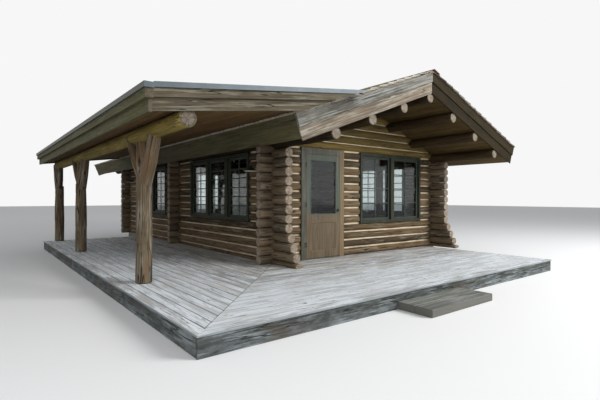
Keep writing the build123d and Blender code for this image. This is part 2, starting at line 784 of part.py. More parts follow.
def lamp_shade(y):
    """Spun bell shade, open below."""
    neck = 2 * NECK_R
    outside = [(0, SHADE_H), (neck, SHADE_H), (neck, SHADE_H * 0.7), (SHADE_R, 0)]
    crown = SHADE_H * 0.7 - SHADE_T
    inside = [(SHADE_R - SHADE_T, 0), (neck - SHADE_T, crown), (0, crown)]
    outline = [(-LAMP_OUT + r, y, LAMP_RIM_Z + h) for r, h in outside + inside]
    axis = Axis((-LAMP_OUT, y, LAMP_RIM_Z), (0, 0, 1))
    return revolve(Face(Wire.make_polygon(outline)), axis)


def build_lamps():
    """The two lamps on the porch-side wall."""
    keep("lamp_arms", [lamp_arm(y) for y in LAMPS_Y])
    keep("lamp_shades", [lamp_shade(y) for y in LAMPS_Y])


build_walls()
build_base()
build_roof()
build_porch_roof()
build_porch_frame()
build_deck()
build_windows()
build_door()
build_lamps()

os.makedirs("parts", exist_ok=True)
shift = Pos(-ORIGIN_X, -ORIGIN_Y, 0)
for node, solids in PARTS.items():
    placed = [shift * solid for solid in solids]
    whole = placed[0] if len(placed) == 1 else Compound(children=placed)
    export_step(whole, f"parts/{node}.step")
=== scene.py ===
"""Looks of a weathered log cabin with a forked-post porch and a plank deck.

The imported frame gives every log, board and pane its place. This script rounds the logs, lays the
mortar between them, the shakes on the roofs and the planks on the deck, and gives every surface its
finish.
"""

from __future__ import annotations

import logging
import math
from dataclasses import dataclass, field
from enum import Enum
from typing import Any, Callable, Sequence

import bpy
import numpy as np
from mathutils import Matrix, Vector

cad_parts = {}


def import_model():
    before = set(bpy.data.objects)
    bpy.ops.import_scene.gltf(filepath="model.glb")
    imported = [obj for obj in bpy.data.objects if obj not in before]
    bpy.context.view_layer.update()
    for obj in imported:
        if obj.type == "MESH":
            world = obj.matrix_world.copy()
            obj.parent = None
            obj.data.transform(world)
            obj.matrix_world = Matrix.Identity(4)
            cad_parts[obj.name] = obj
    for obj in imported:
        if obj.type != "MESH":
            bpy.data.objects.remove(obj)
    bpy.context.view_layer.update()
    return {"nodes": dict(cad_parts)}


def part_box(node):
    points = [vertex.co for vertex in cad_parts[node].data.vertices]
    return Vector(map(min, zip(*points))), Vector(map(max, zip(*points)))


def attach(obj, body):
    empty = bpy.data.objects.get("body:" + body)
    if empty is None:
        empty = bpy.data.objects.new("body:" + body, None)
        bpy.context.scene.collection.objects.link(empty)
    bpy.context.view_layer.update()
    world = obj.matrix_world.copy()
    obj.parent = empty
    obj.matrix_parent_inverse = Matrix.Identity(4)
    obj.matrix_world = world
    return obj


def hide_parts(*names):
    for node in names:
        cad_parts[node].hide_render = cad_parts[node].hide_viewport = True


LOG = logging.getLogger("cabin")
Colour = tuple[float, float, float]
Box = tuple[np.ndarray, np.ndarray]
ROOF_SLOPE = 0.374
PORCH_SLOPE = 0.13
GRAIN_SHIFT = 20.0
PLANK_SPAN = 0.6
PLANK_BEND = 0.0012
FRAME_NODES: dict[str, bpy.types.Object] = {}


# Shader maths


def shaded(colour: Colour, share: float) -> Colour:
    """A colour multiplied by a share."""
    return tuple(share * c for c in colour)


def operator(operation: str, swapped: bool = False) -> Callable[["Tie", Any], "Tie"]:
    """Makes one of a tie's operators.

    Args:
        operation: the Math node's operation.
        swapped: whether the tie is the second value.

    Returns:
        The operator's method.
    """
    def method(self: "Tie", other: Any) -> "Tie":
        """The operation on this value and another."""
        return self.maths(operation, *((other, self) if swapped else (self, other)))
    return method


class Tie:
    """A node's output that takes part in Python expressions."""

    def __init__(self, nodes: "Nodes", socket: bpy.types.NodeSocket | None) -> None:
        """Keeps the socket and the tree that its nodes are added to."""
        self.nodes = nodes
        self.socket = socket

    def maths(self, operation: str, *values: Any) -> "Tie":
        """Adds one Math node.

        Args:
            operation: the node's operation.
            values: its inputs in order.

        Returns:
            The node's value.
        """
        return self.nodes.node("ShaderNodeMath", {"operation": operation}, dict(enumerate(values)))

    __add__ = __radd__ = operator("ADD")
    __mul__ = __rmul__ = operator("MULTIPLY")
    __sub__ = operator("SUBTRACT")
    __rsub__ = operator("SUBTRACT", True)
    __truediv__ = operator("DIVIDE")
    __pow__ = operator("POWER")
    __mod__ = operator("FLOORED_MODULO")
    angle = operator("ARCTAN2")
    larger = operator("MAXIMUM")

    def __abs__(self) -> "Tie":
        """This value without its sign."""
        return self.maths("ABSOLUTE", self)

    def sine(self) -> "Tie":
        """Sine of this value in radians."""
        return self.maths("SINE", self)

    def rise(self, low: float, high: float) -> "Tie":
        """A smooth step from 0 at low to 1 at high."""
        settings = {"interpolation_type": "SMOOTHSTEP", "clamp": True}
        return self.nodes.node("ShaderNodeMapRange", settings, {"Value": self, 1: low, 2: high})

    def fall(self, low: float, high: float) -> "Tie":
        """A smooth step from 1 at low to 0 at high."""
        return 1.0 - self.rise(low, high)


class Nodes:
    """A node tree, with one call that adds a node and one that feeds a socket."""

    def __init__(self, tree: bpy.types.NodeTree) -> None:
        """Empties the tree."""
        self.tree = tree
        tree.nodes.clear()

    def node(self, kind: str, settings: dict[str, Any] | None = None,
             inputs: dict[Any, Any] | None = None, output: Any = 0) -> Tie:
        """Adds a node, sets it, and feeds its sockets.

        Args:
            kind: the node's type.
            settings: its properties; "stops" are a ramp's positions and colours.
            inputs: values or ties by socket name or number.
            output: the output's name or number.

        Returns:
            The chosen output, or an empty tie for a node without outputs.
        """
        made = self.tree.nodes.new(kind)
        for key, value in (settings or {}).items():
            if key == "stops":
                ramp = made.color_ramp.elements
                while len(ramp) < len(value):
                    ramp.new(0.5)
                for stop, (place, colour) in zip(ramp, value):
                    stop.position = place
                    stop.color = (*colour, 1.0)
            else:
                setattr(made, key, value)
        for key, value in (inputs or {}).items():
            self.feed(made.inputs[key], value)
        return Tie(self, made.outputs[output] if len(made.outputs) else None)

    def feed(self, socket: bpy.types.NodeSocket, value: Any) -> None:
        """Links a tie to a socket, or sets the socket's own value.

        Args:
            socket: the input.
            value: a tie, a number, or a colour or vector.
        """
        if isinstance(value, Tie):
            self.tree.links.new(value.socket, socket)
        elif isinstance(value, (tuple, list)) and len(value) == 3 and socket.type == "RGBA":
            socket.default_value = (*value, 1.0)
        else:
            socket.default_value = value


class Bench(Nodes):
    """One material's node tree, with the few calls that fill it."""

    def __init__(self, name: str) -> None:
        """Starts an empty material.

        Args:
            name: the material's name.
        """
        self.material = bpy.data.materials.new(name)
        self.material.use_nodes = True
        super().__init__(self.material.node_tree)

    def principled(self, inputs: dict[str, Any]) -> bpy.types.Material:
        """Ends the material in a Principled shader with those inputs."""
        self.node("ShaderNodeOutputMaterial", None, {0: self.node("ShaderNodeBsdfPrincipled", None, inputs)})
        return self.material

    def mix(self, share: Any, first: Any, second: Any, blend: str = "MIX") -> Tie:
        """Colour between two colours.

        Args:
            share: how much of the second, 0 to 1.
            first: colour at 0.
            second: colour at 1.
            blend: the Mix node's way of blending.

        Returns:
            The mixed colour.
        """
        settings = {"data_type": "RGBA", "blend_type": blend, "clamp_factor": True}
        return self.node("ShaderNodeMix", settings, {0: share, 6: first, 7: second}, 2)

    def noise(self, place: Tie, scale: float, detail: float = 3.0, rough: float = 0.55) -> Tie:
        """Value of a noise texture at a place, about 0.5 on average."""
        inputs = {"Vector": place, "Scale": scale, "Detail": detail, "Roughness": rough}
        return self.node("ShaderNodeTexNoise", None, inputs)

    def cells(self, place: Tie, feature: str = "F1") -> Tie:
        """Distance in a Voronoi texture at a place."""
        inputs = {"Vector": place, "Scale": 1.0}
        return self.node("ShaderNodeTexVoronoi", {"feature": feature}, inputs, "Distance")

    def stretch(self, place: Tie, by: Colour, shift: Colour = (0.0, 0.0, 0.0)) -> Tie:
        """A place stretched along each axis, then shifted."""
        inputs = {0: place, 1: by, 2: shift}
        return self.node("ShaderNodeVectorMath", {"operation": "MULTIPLY_ADD"}, inputs)

    def parts(self, place: Tie) -> tuple[Tie, Tie, Tie]:
        """The three parts of a vector."""
        split = self.node("ShaderNodeSeparateXYZ", None, {0: place}).socket.node
        return tuple(Tie(self, split.outputs[i]) for i in range(3))

    def join(self, x: Any, y: Any, z: Any) -> Tie:
        """A vector of three values."""
        return self.node("ShaderNodeCombineXYZ", None, {0: x, 1: y, 2: z})

    def made(self, name: str, output: str = "Fac") -> Tie:
        """An attribute that the meshes carry."""
        return self.node("ShaderNodeAttribute", {"attribute_name": name}, None, output)

    def spot(self) -> Tie:
        """The object's own coordinates, in metres."""
        return self.node("ShaderNodeTexCoord", None, None, "Object")

    def facing(self) -> tuple[Tie, Tie, Tie]:
        """The three parts of the surface's direction."""
        return self.parts(self.node("ShaderNodeNewGeometry", None, None, "Normal"))

    def shade(self, colour: Any, roughness: Any, relief: Any = None, depth: float = 0.004,
              **more: Any) -> bpy.types.Material:
        """Ends the material in a plain surface.

        Args:
            colour: base colour.
            roughness: roughness.
            relief: height for a Bump node, or None.
            depth: metres that a height of 1 stands for.
            more: other sockets, with underscores for the spaces in their names.

        Returns:
            The finished material.
        """
        inputs = {"Base Color": colour, "Roughness": roughness}
        inputs.update({key.replace("_", " "): value for key, value in more.items()})
        if relief is not None:
            bump = {"Strength": 1.0, "Distance": depth, "Height": relief}
            inputs["Normal"] = self.node("ShaderNodeBump", None, bump)
        return self.principled(inputs)


@dataclass(frozen=True)
class Figure:
    """One layer of a surface's figure: noise that is stretched along the grain."""

    along: float
    across: float
    detail: float
    rough: float = 0.55
    shift: Colour = (0.0, 0.0, 0.0)

    def read(self, bench: Bench, place: Tie) -> Tie:
        """Adds the layer to a material.

        Args:
            bench: the material in the making.
            place: coordinates with the grain along x.

        Returns:
            The layer's value.
        """
        spread = bench.stretch(place, (self.along, self.across, self.across), self.shift)
        return bench.noise(spread, 1.0, self.detail, self.rough)


BROAD_BANDS = Figure(0.8, 5.0, 3.0, shift=(3.1, 7.7, 1.9))
WORN_PATCHES = Figure(1.7, 9.0, 4.0, 0.65, (9.3, 2.2, 5.1))
CRACK_LINES = Figure(0.9, 19.0, 1.5, 0.5, (4.4, 1.3, 8.8))
FINE_FIBRES = Figure(1.1, 170.0, 2.0, 0.5, (6.1, 2.3, 3.3))
SPECKS = Figure(4.5, 12.0, 5.0, 0.7, (5.5, 6.1, 0.7))
STAINS = Figure(1.1, 4.0, 4.0, 0.6, (2.7, 8.1, 4.6))


class Grain(Enum):
    """Where the direction of a piece of wood comes from."""

    MADE = "the mesh's own data"
    X = "along x"
    Y = "along y"
    Z = "upright"


@dataclass(frozen=True)
class Wood:
    """Timber with streaks, checks, knots and weathered patches."""

    name: str
    deep: Colour
    pale: Colour
    grey: Colour
    grain: Grain = Grain.MADE
    streaks: float = 46.0
    weather: float = 0.45
    checks: float = 0.6
    knots: float = 0.5
    spread: float = 0.35
    rough: float = 0.78
    depth: float = 0.004
    sheen: float = 0.25
    fray: float = 0.6
    crack: float = 0.016
    cracked: float = 0.44
    plank: float = 0.0
    paint: Colour | None = None
    paint_from: float = 1.10
    tilt: float = 0.0
    stain: Colour | None = None
    beyond: float | None = None
    beyond_paint: Colour = (0.19, 0.135, 0.07)
    ends: Colour | None = None
    # Colour of painted shade on the faces that look sideways, or None.
    painted_flank_shade: Colour | None = None
    mottle: float = 0.0
    # How much paler the wood gets towards the bottom, below 0.15 m.
    paler_foot: float = 0.0

    def place(self, bench: Bench) -> Tie:
        """Coordinates with the grain along x.

        Args:
            bench: the material in the making.

        Returns:
            A vector in metres.
        """
        if self.grain is Grain.MADE:
            return bench.made("grain", "Vector")
        x, y, z = bench.parts(bench.spot())
        if self.tilt:
            x, z = x + z * self.tilt, z - x * self.tilt
        turned = {Grain.X: (x, y, z), Grain.Y: (y, x, z), Grain.Z: (z, x, y)}[self.grain]
        return bench.join(*turned)

    def build(self) -> bpy.types.Material:
        """Makes the material.

        Returns:
            The material.
        """
        bench = Bench(self.name)
        place = self.place(bench)
        streak = Figure(1.6, self.streaks, 5.0, 0.62).read(bench, place)
        broad, patch, line, fine = (figure.read(bench, place)
                                    for figure in (BROAD_BANDS, WORN_PATCHES, CRACK_LINES, FINE_FIBRES))
        crack = abs(line - 0.5).fall(0.0, self.crack) * patch.rise(self.cracked, self.cracked + 0.14) * self.checks
        ring = bench.cells(bench.stretch(place, (2.4, 9.5, 9.5), (1.7, 0.4, 6.2)))
        knot = ring.fall(0.07, 0.17) * self.knots
        shade = streak * 1.9 - 0.45 + (broad - 0.5) * 1.1 + (fine - 0.5) * 0.5
        body = bench.mix(shade, self.deep, self.pale)
        worn = (patch + (streak - 0.5) * self.fray).rise(0.62 - 0.34 * self.weather, 0.86 - 0.3 * self.weather)
        if self.grain is Grain.MADE:
            worn = worn + bench.made("bleach")
            body = bench.mix(1.0, body, self.lift(bench, bench.made("tone")), "MULTIPLY")
        if self.mottle:
            speck = SPECKS.read(bench, place)
            _, _, up = bench.parts(bench.spot())
            # The wood gets paler towards the bottom, below 0.15 m.
            worn = worn + (speck - 0.5) * self.mottle + up.fall(0.02, 0.15) * self.paler_foot
        body = bench.mix(worn * self.weather * 1.6, body, self.grey)
        if self.stain:
            blot = STAINS.read(bench, place)
            body = bench.mix((blot + (streak - 0.5) * 0.3).rise(0.55, 0.68) * 0.75, body, self.stain)
        body = bench.mix(knot, body, shaded(self.deep, 0.28))
        body = bench.mix(crack, body, shaded(self.deep, 0.12))
        height = streak * 0.5 + broad * 0.3 - crack * 1.2 - knot * 0.2
        body = self.coated(bench, body, streak, patch)
        if self.plank:
            _, across, _ = bench.parts(place)
            seam = abs((across / self.plank) % 1.0 - 0.5).rise(0.47, 0.495)
            body = bench.mix(seam, body, shaded(self.deep, 0.1))
            height = height - seam * 1.5
        gloss = self.rough + (streak - 0.5) * 0.2
        return bench.shade(body, gloss, height, self.depth, Specular_IOR_Level=self.sheen)

    def coated(self, bench: Bench, body: Tie, streak: Tie, patch: Tie) -> Tie:
        """Adds the paint, the colours of sawn ends, and painted shade on the faces that look sideways.

        Args:
            bench: the material in the making.
            body: the bare wood's colour.
            streak: value of the streaks.
            patch: value of the worn patches.

        Returns:
            The colour.
        """
        if self.paint:
            _, _, up = bench.parts(bench.spot())
            coat = bench.mix(streak.rise(0.35, 0.6), shaded(self.paint, 0.7), self.paint)
            chipped = (patch + (streak - 0.5) * 0.7).rise(0.62, 0.74)
            edge = up + (patch - 0.5) * 0.5 + (streak - 0.5) * 0.3
            body = bench.mix(edge.rise(self.paint_from - 0.10, self.paint_from + 0.14) * (1.0 - chipped), body, coat)
        if self.beyond is not None:
            right, _, _ = bench.parts(bench.spot())
            coat = bench.mix(streak.rise(0.3, 0.65), shaded(self.beyond_paint, 0.5), self.beyond_paint)
            body = bench.mix(right.rise(self.beyond - 0.001, self.beyond + 0.001), body, coat)
        if self.ends:
            cut = bench.facing()[{Grain.X: 0, Grain.Y: 1, Grain.Z: 2}[self.grain]]
            body = bench.mix(abs(cut).rise(0.6, 0.9), body, self.ends)
        # Painted shade: faces that look sideways are darkened towards this finish's sideways colour.
        if self.painted_flank_shade:
            body = bench.mix(abs(bench.facing()[2]).fall(0.6, 0.9) * 0.9, body, self.painted_flank_shade)
        return body

    def lift(self, bench: Bench, tone: Tie) -> Tie:
        """Lightness and warmth that differ from piece to piece.

        Args:
            bench: the material in the making.
            tone: the piece's random value.

        Returns:
            A colour to multiply by.
        """
        low, high = 1.0 - self.spread, 1.0 + self.spread
        stops = [(0.0, (low, low, low * 1.05)), (0.5, (1.0, 0.98, 0.95)), (0.8, (high, high * 0.97, high * 0.93)),
                 (1.0, (high, high, high * 1.03))]
        return bench.node("ShaderNodeValToRGB", {"stops": stops}, {0: tone})


@dataclass(frozen=True)
class EndGrain:
    """A sawn log end: growth rings, radial checks and a weathered face."""

    name: str
    pale: Colour
    deep: Colour
    grey: Colour
    growth: float = 900.0
    bark: tuple[float, float] = (0.066, 0.084)

    def build(self) -> bpy.types.Material:
        """Makes the material.

        Returns:
            The material.
        """
        bench = Bench(self.name)
        place = bench.made("grain", "Vector")
        _, c1, c2 = bench.parts(bench.made("face", "Vector"))
        wobble = bench.noise(place, 9.0, 2.0)
        reach = (c1 * c1 + c2 * c2) ** 0.5 + (wobble - 0.5) * 0.012
        rings = (reach * self.growth).sine() * 0.5 + 0.5
        angle = c2.angle(c1)
        spokes = bench.noise(bench.join(angle * 2.6, reach * 1.2, bench.made("tone") * 40.0), 1.0, 3.0)
        split = abs(spokes - 0.5).fall(0.0, 0.028) * reach.rise(0.006, 0.02)
        stain = bench.noise(place, 13.0, 4.0, 0.6)
        body = bench.mix(rings * 0.45 + stain * 0.5, self.pale, self.deep)
        body = bench.mix(stain.rise(0.42, 0.68) * 0.8, body, self.grey)
        body = bench.mix(reach.rise(*self.bark) * 0.55, body, shaded(self.deep, 0.5))
        body = bench.mix(split * 0.65, body, shaded(self.deep, 0.12))
        return bench.shade(body, 0.85, rings * 0.15 - split * 1.2 + stain * 0.3, 0.004, Specular_IOR_Level=0.2)


@dataclass(frozen=True)
class Mortar:
    """Cream chinking, trowelled and a little dirty."""

    name: str
    pale: Colour
    dirty: Colour

    def build(self) -> bpy.types.Material:
        """Makes the material.

        Returns:
            The material.
        """
        bench = Bench(self.name)
        spot = bench.spot()
        grit = bench.noise(spot, 160.0, 4.0, 0.7)
        smear = bench.noise(bench.stretch(spot, (3.0, 3.0, 14.0)), 1.0, 4.0, 0.6)
        stain = bench.noise(spot, 2.3, 3.0)
        body = bench.mix(smear.rise(0.38, 0.66) * 0.6 + stain.rise(0.5, 0.7) * 0.5, self.pale, self.dirty)
        body = bench.mix(grit.fall(0.3, 0.42) * 0.4, body, shaded(self.dirty, 0.4))
        return bench.shade(body, 0.92, grit * 0.4 + smear, 0.006, Specular_IOR_Level=0.15)


@dataclass(frozen=True)
class Metal:
    """Sheet or cast metal with a worn coat and some rust."""

    name: str
    coat: Colour
    worn: Colour
    rust: Colour
    rusty: float = 0.2
    metallic: float = 0.6
    rough: float = 0.45
    # Colour of painted shade on the faces that look towards -x, or None.
    painted_side_shade: Colour | None = None

    def build(self) -> bpy.types.Material:
        """Makes the material.

        Returns:
            The material.
        """
        bench = Bench(self.name)
        spot = bench.spot()
        cloud = bench.noise(spot, 5.0, 5.0, 0.62)
        speck = bench.noise(spot, 70.0, 4.0, 0.65)
        eaten = (cloud * 0.7 + speck * 0.3).rise(0.66 - 0.3 * self.rusty, 0.74 - 0.24 * self.rusty)
        body = bench.mix(cloud.rise(0.4, 0.7) * 0.7 + speck * 0.2, self.coat, self.worn)
        # Painted shade: faces that look towards -x are darkened.
        if self.painted_side_shade:
            body = bench.mix((bench.facing()[0] * -1.0).rise(0.5, 0.8), body, self.painted_side_shade)
        body = bench.mix(eaten, body, bench.mix(speck, shaded(self.rust, 0.45), self.rust))
        return bench.shade(body, self.rough + eaten * 0.4 + (speck - 0.5) * 0.15, speck * eaten + cloud * 0.3,
                           0.0015, Metallic=self.metallic * (1.0 - eaten * 0.9))


@dataclass(frozen=True)
class Glass:
    """Window glass with a slight unevenness and a film of dust."""

    name: str
    tint: Colour
    dust: float = 0.12

    def build(self) -> bpy.types.Material:
        """Makes the material.

        Returns:
            The material.
        """
        bench = Bench(self.name)
        spot = bench.spot()
        wave = bench.noise(spot, 2.6, 1.0)
        film = bench.noise(bench.stretch(spot, (4.0, 4.0, 2.0)), 1.0, 4.0, 0.6)
        inputs = {"Base Color": self.tint, "Roughness": 0.03 + film.rise(0.45, 0.8) * self.dust,
                  "Transmission Weight": 1.0, "IOR": 1.45}
        inputs["Normal"] = bench.node("ShaderNodeBump", None, {"Strength": 0.35, "Distance": 0.01, "Height": wave})
        return bench.principled(inputs)


@dataclass(frozen=True)
class Stone:
    """Rubble and concrete of the low plinth."""

    name: str
    pale: Colour
    deep: Colour

    def build(self) -> bpy.types.Material:
        """Makes the material.

        Returns:
            The material.
        """
        bench = Bench(self.name)
        spot = bench.spot()
        seam = bench.cells(bench.stretch(spot, (3.4, 3.4, 6.0)), "DISTANCE_TO_EDGE").fall(0.02, 0.07)
        grit = bench.noise(spot, 34.0, 5.0, 0.65)
        tint = bench.noise(bench.stretch(spot, (3.0, 3.0, 5.0)), 1.0, 2.0)
        body = bench.mix(grit * 0.6 + tint * 0.5, self.deep, self.pale)
        body = bench.mix(seam * 0.7, body, shaded(self.pale, 0.6))
        return bench.shade(body, 0.9, grit * 0.4 - seam, 0.01, Specular_IOR_Level=0.2)


class Finishes:
    """The cabin's finishes, each made once."""

    table: dict[str, Any] = {
        "log": Wood("log_wood", (0.032, 0.021, 0.011), (0.165, 0.112, 0.062), (0.20, 0.17, 0.125),
                    streaks=38.0, weather=0.42, checks=0.95, knots=0.7, spread=0.45, depth=0.007, sheen=0.15,
                    fray=0.9, cracked=0.40, crack=0.020),
        "log_end": EndGrain("log_end_grain", (0.36, 0.29, 0.215), (0.18, 0.13, 0.09), (0.35, 0.315, 0.265)),
        "gable": Wood("gable_log_wood", (0.050, 0.036, 0.011), (0.185, 0.130, 0.042), (0.17, 0.138, 0.062),
                      streaks=38.0, weather=0.25, checks=0.9, knots=0.6, depth=0.006, sheen=0.12),
        "purlin": Wood("purlin_wood", (0.014, 0.009, 0.004), (0.046, 0.031, 0.014), (0.045, 0.036, 0.02),
                       streaks=38.0, weather=0.2, checks=0.9, knots=0.5, depth=0.006, sheen=0.12),
        "round_end": EndGrain("round_end_grain", (0.27, 0.225, 0.165), (0.13, 0.10, 0.07), (0.27, 0.245, 0.205)),
        "beam_end": EndGrain("beam_end_grain", (0.19, 0.155, 0.115), (0.09, 0.07, 0.048), (0.18, 0.165, 0.135)),
        "mortar": Mortar("mortar", (0.57, 0.49, 0.345), (0.31, 0.25, 0.17)),
        "shake": Wood("roof_shake", (0.09, 0.072, 0.055), (0.31, 0.265, 0.21), (0.39, 0.355, 0.30),
                      streaks=60.0, weather=0.7, checks=0.7, knots=0.1, spread=0.5, depth=0.004),
        "soffit": Wood("soffit_boards", (0.040, 0.025, 0.009), (0.122, 0.080, 0.029), (0.098, 0.071, 0.030),
                       grain=Grain.Y, weather=0.15, plank=0.16, depth=0.004, sheen=0.12),
        "porch_soffit": Wood("porch_soffit_boards", (0.045, 0.027, 0.010), (0.155, 0.090, 0.034), (0.11, 0.072, 0.030),
                             grain=Grain.Y, weather=0.15, plank=0.14, depth=0.004, sheen=0.12),
        "barge_upper": Wood("upper_barge_wood", (0.045, 0.042, 0.034), (0.155, 0.146, 0.122), (0.215, 0.218, 0.20),
                            weather=0.6, checks=1.0, knots=0.4, spread=0.08, depth=0.005, fray=1.3),
        "barge_lower": Wood("lower_barge_wood", (0.060, 0.047, 0.033), (0.195, 0.160, 0.118), (0.27, 0.245, 0.20),
                            weather=0.6, checks=1.0, knots=0.4, spread=0.08, depth=0.005, fray=1.3),
        # Painted shade: darker copies of the two barge finishes above, for the right slope's boards.
        "barge_shade_upper": Wood("shaded_upper_barge_wood", (0.010, 0.007, 0.003), (0.031, 0.022, 0.008),
                                  (0.036, 0.027, 0.012), weather=0.35, checks=0.8, knots=0.3, spread=0.08,
                                  depth=0.005, sheen=0.1, fray=1.0),
        "barge_shade_lower": Wood("shaded_lower_barge_wood", (0.007, 0.005, 0.002), (0.021, 0.015, 0.005),
                                  (0.026, 0.019, 0.008), weather=0.3, checks=0.8, knots=0.3, spread=0.08,
                                  depth=0.005, sheen=0.1, fray=1.0),
        "fascia": Wood("fascia_wood", (0.040, 0.036, 0.015), (0.115, 0.104, 0.048), (0.13, 0.12, 0.068),
                       weather=0.3, knots=0.2, spread=0.1),
        "drip": Metal("drip_edge", (0.30, 0.27, 0.09), (0.38, 0.34, 0.14), (0.2, 0.11, 0.04), rusty=0.15,
                      metallic=0.1, rough=0.5),
        "porch_board_y": Wood("porch_side_board", (0.034, 0.030, 0.010), (0.095, 0.085, 0.034), (0.100, 0.102, 0.050),
                              grain=Grain.Y, weather=0.5, knots=0.35, checks=0.9, depth=0.005,
                              ends=(0.082, 0.067, 0.044)),
        "porch_board_x": Wood("porch_end_board", (0.030, 0.024, 0.014), (0.130, 0.106, 0.070), (0.165, 0.155, 0.118),
                              grain=Grain.X, weather=0.5, knots=0.35, checks=1.0, depth=0.005, tilt=PORCH_SLOPE,
                              streaks=60.0, fray=1.2, sheen=0.15),
        "beam": Wood("beam_wood", (0.085, 0.060, 0.012), (0.29, 0.220, 0.055), (0.27, 0.225, 0.085),
                     weather=0.35, checks=0.9, knots=0.6, depth=0.006, sheen=0.15),
        "post": Wood("post_wood", (0.036, 0.026, 0.015), (0.170, 0.130, 0.080), (0.22, 0.195, 0.15),
                     streaks=34.0, weather=0.5, checks=1.0, knots=0.8, spread=0.12, depth=0.012, fray=1.2,
                     crack=0.03, cracked=0.34, stain=(0.125, 0.072, 0.034)),
        # The deck carries painted shade on the faces of its planks that look sideways.
        "deck": Wood("deck_wood", (0.20, 0.185, 0.165), (0.47, 0.455, 0.425), (0.69, 0.73, 0.765),
                     streaks=70.0, weather=0.62, checks=0.9, knots=0.3, spread=0.3, depth=0.003, fray=0.9,
                     painted_flank_shade=(0.19, 0.213, 0.222)),
        "skirt": Wood("skirt_wood", (0.022, 0.025, 0.022), (0.072, 0.083, 0.078), (0.195, 0.220, 0.226),
                      streaks=44.0, weather=0.5, checks=1.0, knots=0.8, spread=0.2, depth=0.006, fray=0.9,
                      crack=0.020, cracked=0.40, stain=(0.060, 0.046, 0.032), mottle=2.4, paler_foot=0.35),
        # The step carries painted shade on its faces that look sideways.
        "step": Wood("step_wood", (0.072, 0.073, 0.060), (0.19, 0.195, 0.172), (0.25, 0.265, 0.25),
                     weather=0.6, checks=0.6, knots=0.3, spread=0.15, fray=1.0, painted_flank_shade=(0.115, 0.113, 0.098)),
        "bearer": Wood("bearer_wood", (0.07, 0.06, 0.045), (0.2, 0.17, 0.13), (0.2, 0.19, 0.165),
                       grain=Grain.X),
        "frame": Wood("frame_paint", (0.017, 0.020, 0.013), (0.040, 0.043, 0.030), (0.058, 0.061, 0.044),
                      grain=Grain.Z, weather=0.45, checks=0.5, knots=0.1, rough=0.6, sheen=0.12),
        "door_frame": Wood("door_frame_paint", (0.034, 0.030, 0.020), (0.082, 0.080, 0.058), (0.10, 0.105, 0.085),
                           grain=Grain.Z, weather=0.5, checks=0.6, knots=0.1, rough=0.6, beyond=0.262),
        "sash": Wood("sash_paint", (0.022, 0.029, 0.022), (0.052, 0.065, 0.051), (0.078, 0.09, 0.07),
                     grain=Grain.Z, weather=0.3, checks=0.3, knots=0.05, rough=0.55, sheen=0.15),
        "bar": Wood("glazing_bar_paint", (0.030, 0.036, 0.028), (0.066, 0.080, 0.062), (0.09, 0.10, 0.08),
                    weather=0.3, checks=0.2, knots=0.0, spread=0.1, rough=0.55),
        "door": Wood("door_wood", (0.058, 0.040, 0.022), (0.155, 0.115, 0.070), (0.13, 0.115, 0.08),
                     grain=Grain.Z, weather=0.3, checks=0.3, knots=0.25, rough=0.6,
                     paint=(0.068, 0.083, 0.063), paint_from=1.09),
        "casing": Wood("door_casing_wood", (0.09, 0.062, 0.032), (0.20, 0.145, 0.080), (0.17, 0.145, 0.095),
                       weather=0.35, checks=0.5, knots=0.25, spread=0.12),
        "floor": Wood("floor_boards", (0.10, 0.065, 0.035), (0.27, 0.19, 0.11), (0.24, 0.2, 0.15),
                      grain=Grain.Y, weather=0.2, plank=0.14),
        "ridge": Metal("ridge_metal", (0.20, 0.15, 0.10), (0.30, 0.22, 0.15), (0.30, 0.11, 0.035), rusty=1.0),
        # The porch's edge metal carries painted shade on its faces that look towards -x.
        "edge_metal": Metal("edge_metal", (0.052, 0.068, 0.078), (0.078, 0.100, 0.110), (0.2, 0.1, 0.05), rusty=0.05,
                            metallic=0.3, rough=0.5, painted_side_shade=(0.045, 0.048, 0.034)),
        "iron": Metal("iron", (0.035, 0.033, 0.03), (0.08, 0.07, 0.06), (0.13, 0.06, 0.03), rusty=0.5),
        "lamp": Metal("lamp_metal", (0.030, 0.028, 0.018), (0.055, 0.052, 0.036), (0.1, 0.06, 0.03), rusty=0.3,
                      metallic=0.2, rough=0.4),
        "lamp_rim": Metal("lamp_rim", (0.70, 0.69, 0.60), (0.80, 0.79, 0.72), (0.3, 0.2, 0.1), rusty=0.0,
                          metallic=0.0, rough=0.35),
        "bulb": Mortar("bulb_glass", (0.8, 0.8, 0.76), (0.7, 0.7, 0.66)),
        "glass": Glass("window_glass", (0.72, 0.78, 0.78)),
        "plinth": Stone("plinth_stone", (0.34, 0.32, 0.29), (0.15, 0.14, 0.125)),
    }
    made: dict[str, bpy.types.Material] = {}

    @classmethod
    def get(cls, name: str) -> bpy.types.Material:
        """The material of a finish.

        Args:
            name: the finish's name in the table.

        Returns:
            Its material, made at the first call.
        """
        if name not in cls.made:
            cls.made[name] = cls.table[name].build()
        return cls.made[name]


# Meshes


def waves(seed: int, count: int = 4) -> np.ndarray:
    """Random sine waves for slow unevenness.

    Args:
        seed: the piece's number.
        count: how many waves.

    Returns:
        Rows of frequency, phase and height.
    """
    dice = np.random.default_rng(seed)
    return np.stack([dice.uniform(0.5, 7.0, count), dice.uniform(0, 2 * math.pi, count),
                     dice.uniform(0.3, 1.0, count)], 1)


def sway(table: np.ndarray, along: np.ndarray) -> np.ndarray:
    """Sum of the waves at each distance, about -1 to 1."""
    total = sum(h * np.sin(along * f + p) for f, p, h in table)
    return total / table[:, 2].sum()


def place_in_scene(name: str, data: bpy.types.ID) -> bpy.types.Object:
    """Makes an object and links it to the scene.

    Args:
        name: the object's name.
        data: its mesh, lamp or camera.

    Returns:
        The object.
    """
    made = bpy.data.objects.new(name, data)
    bpy.context.scene.collection.objects.link(made)
    return made


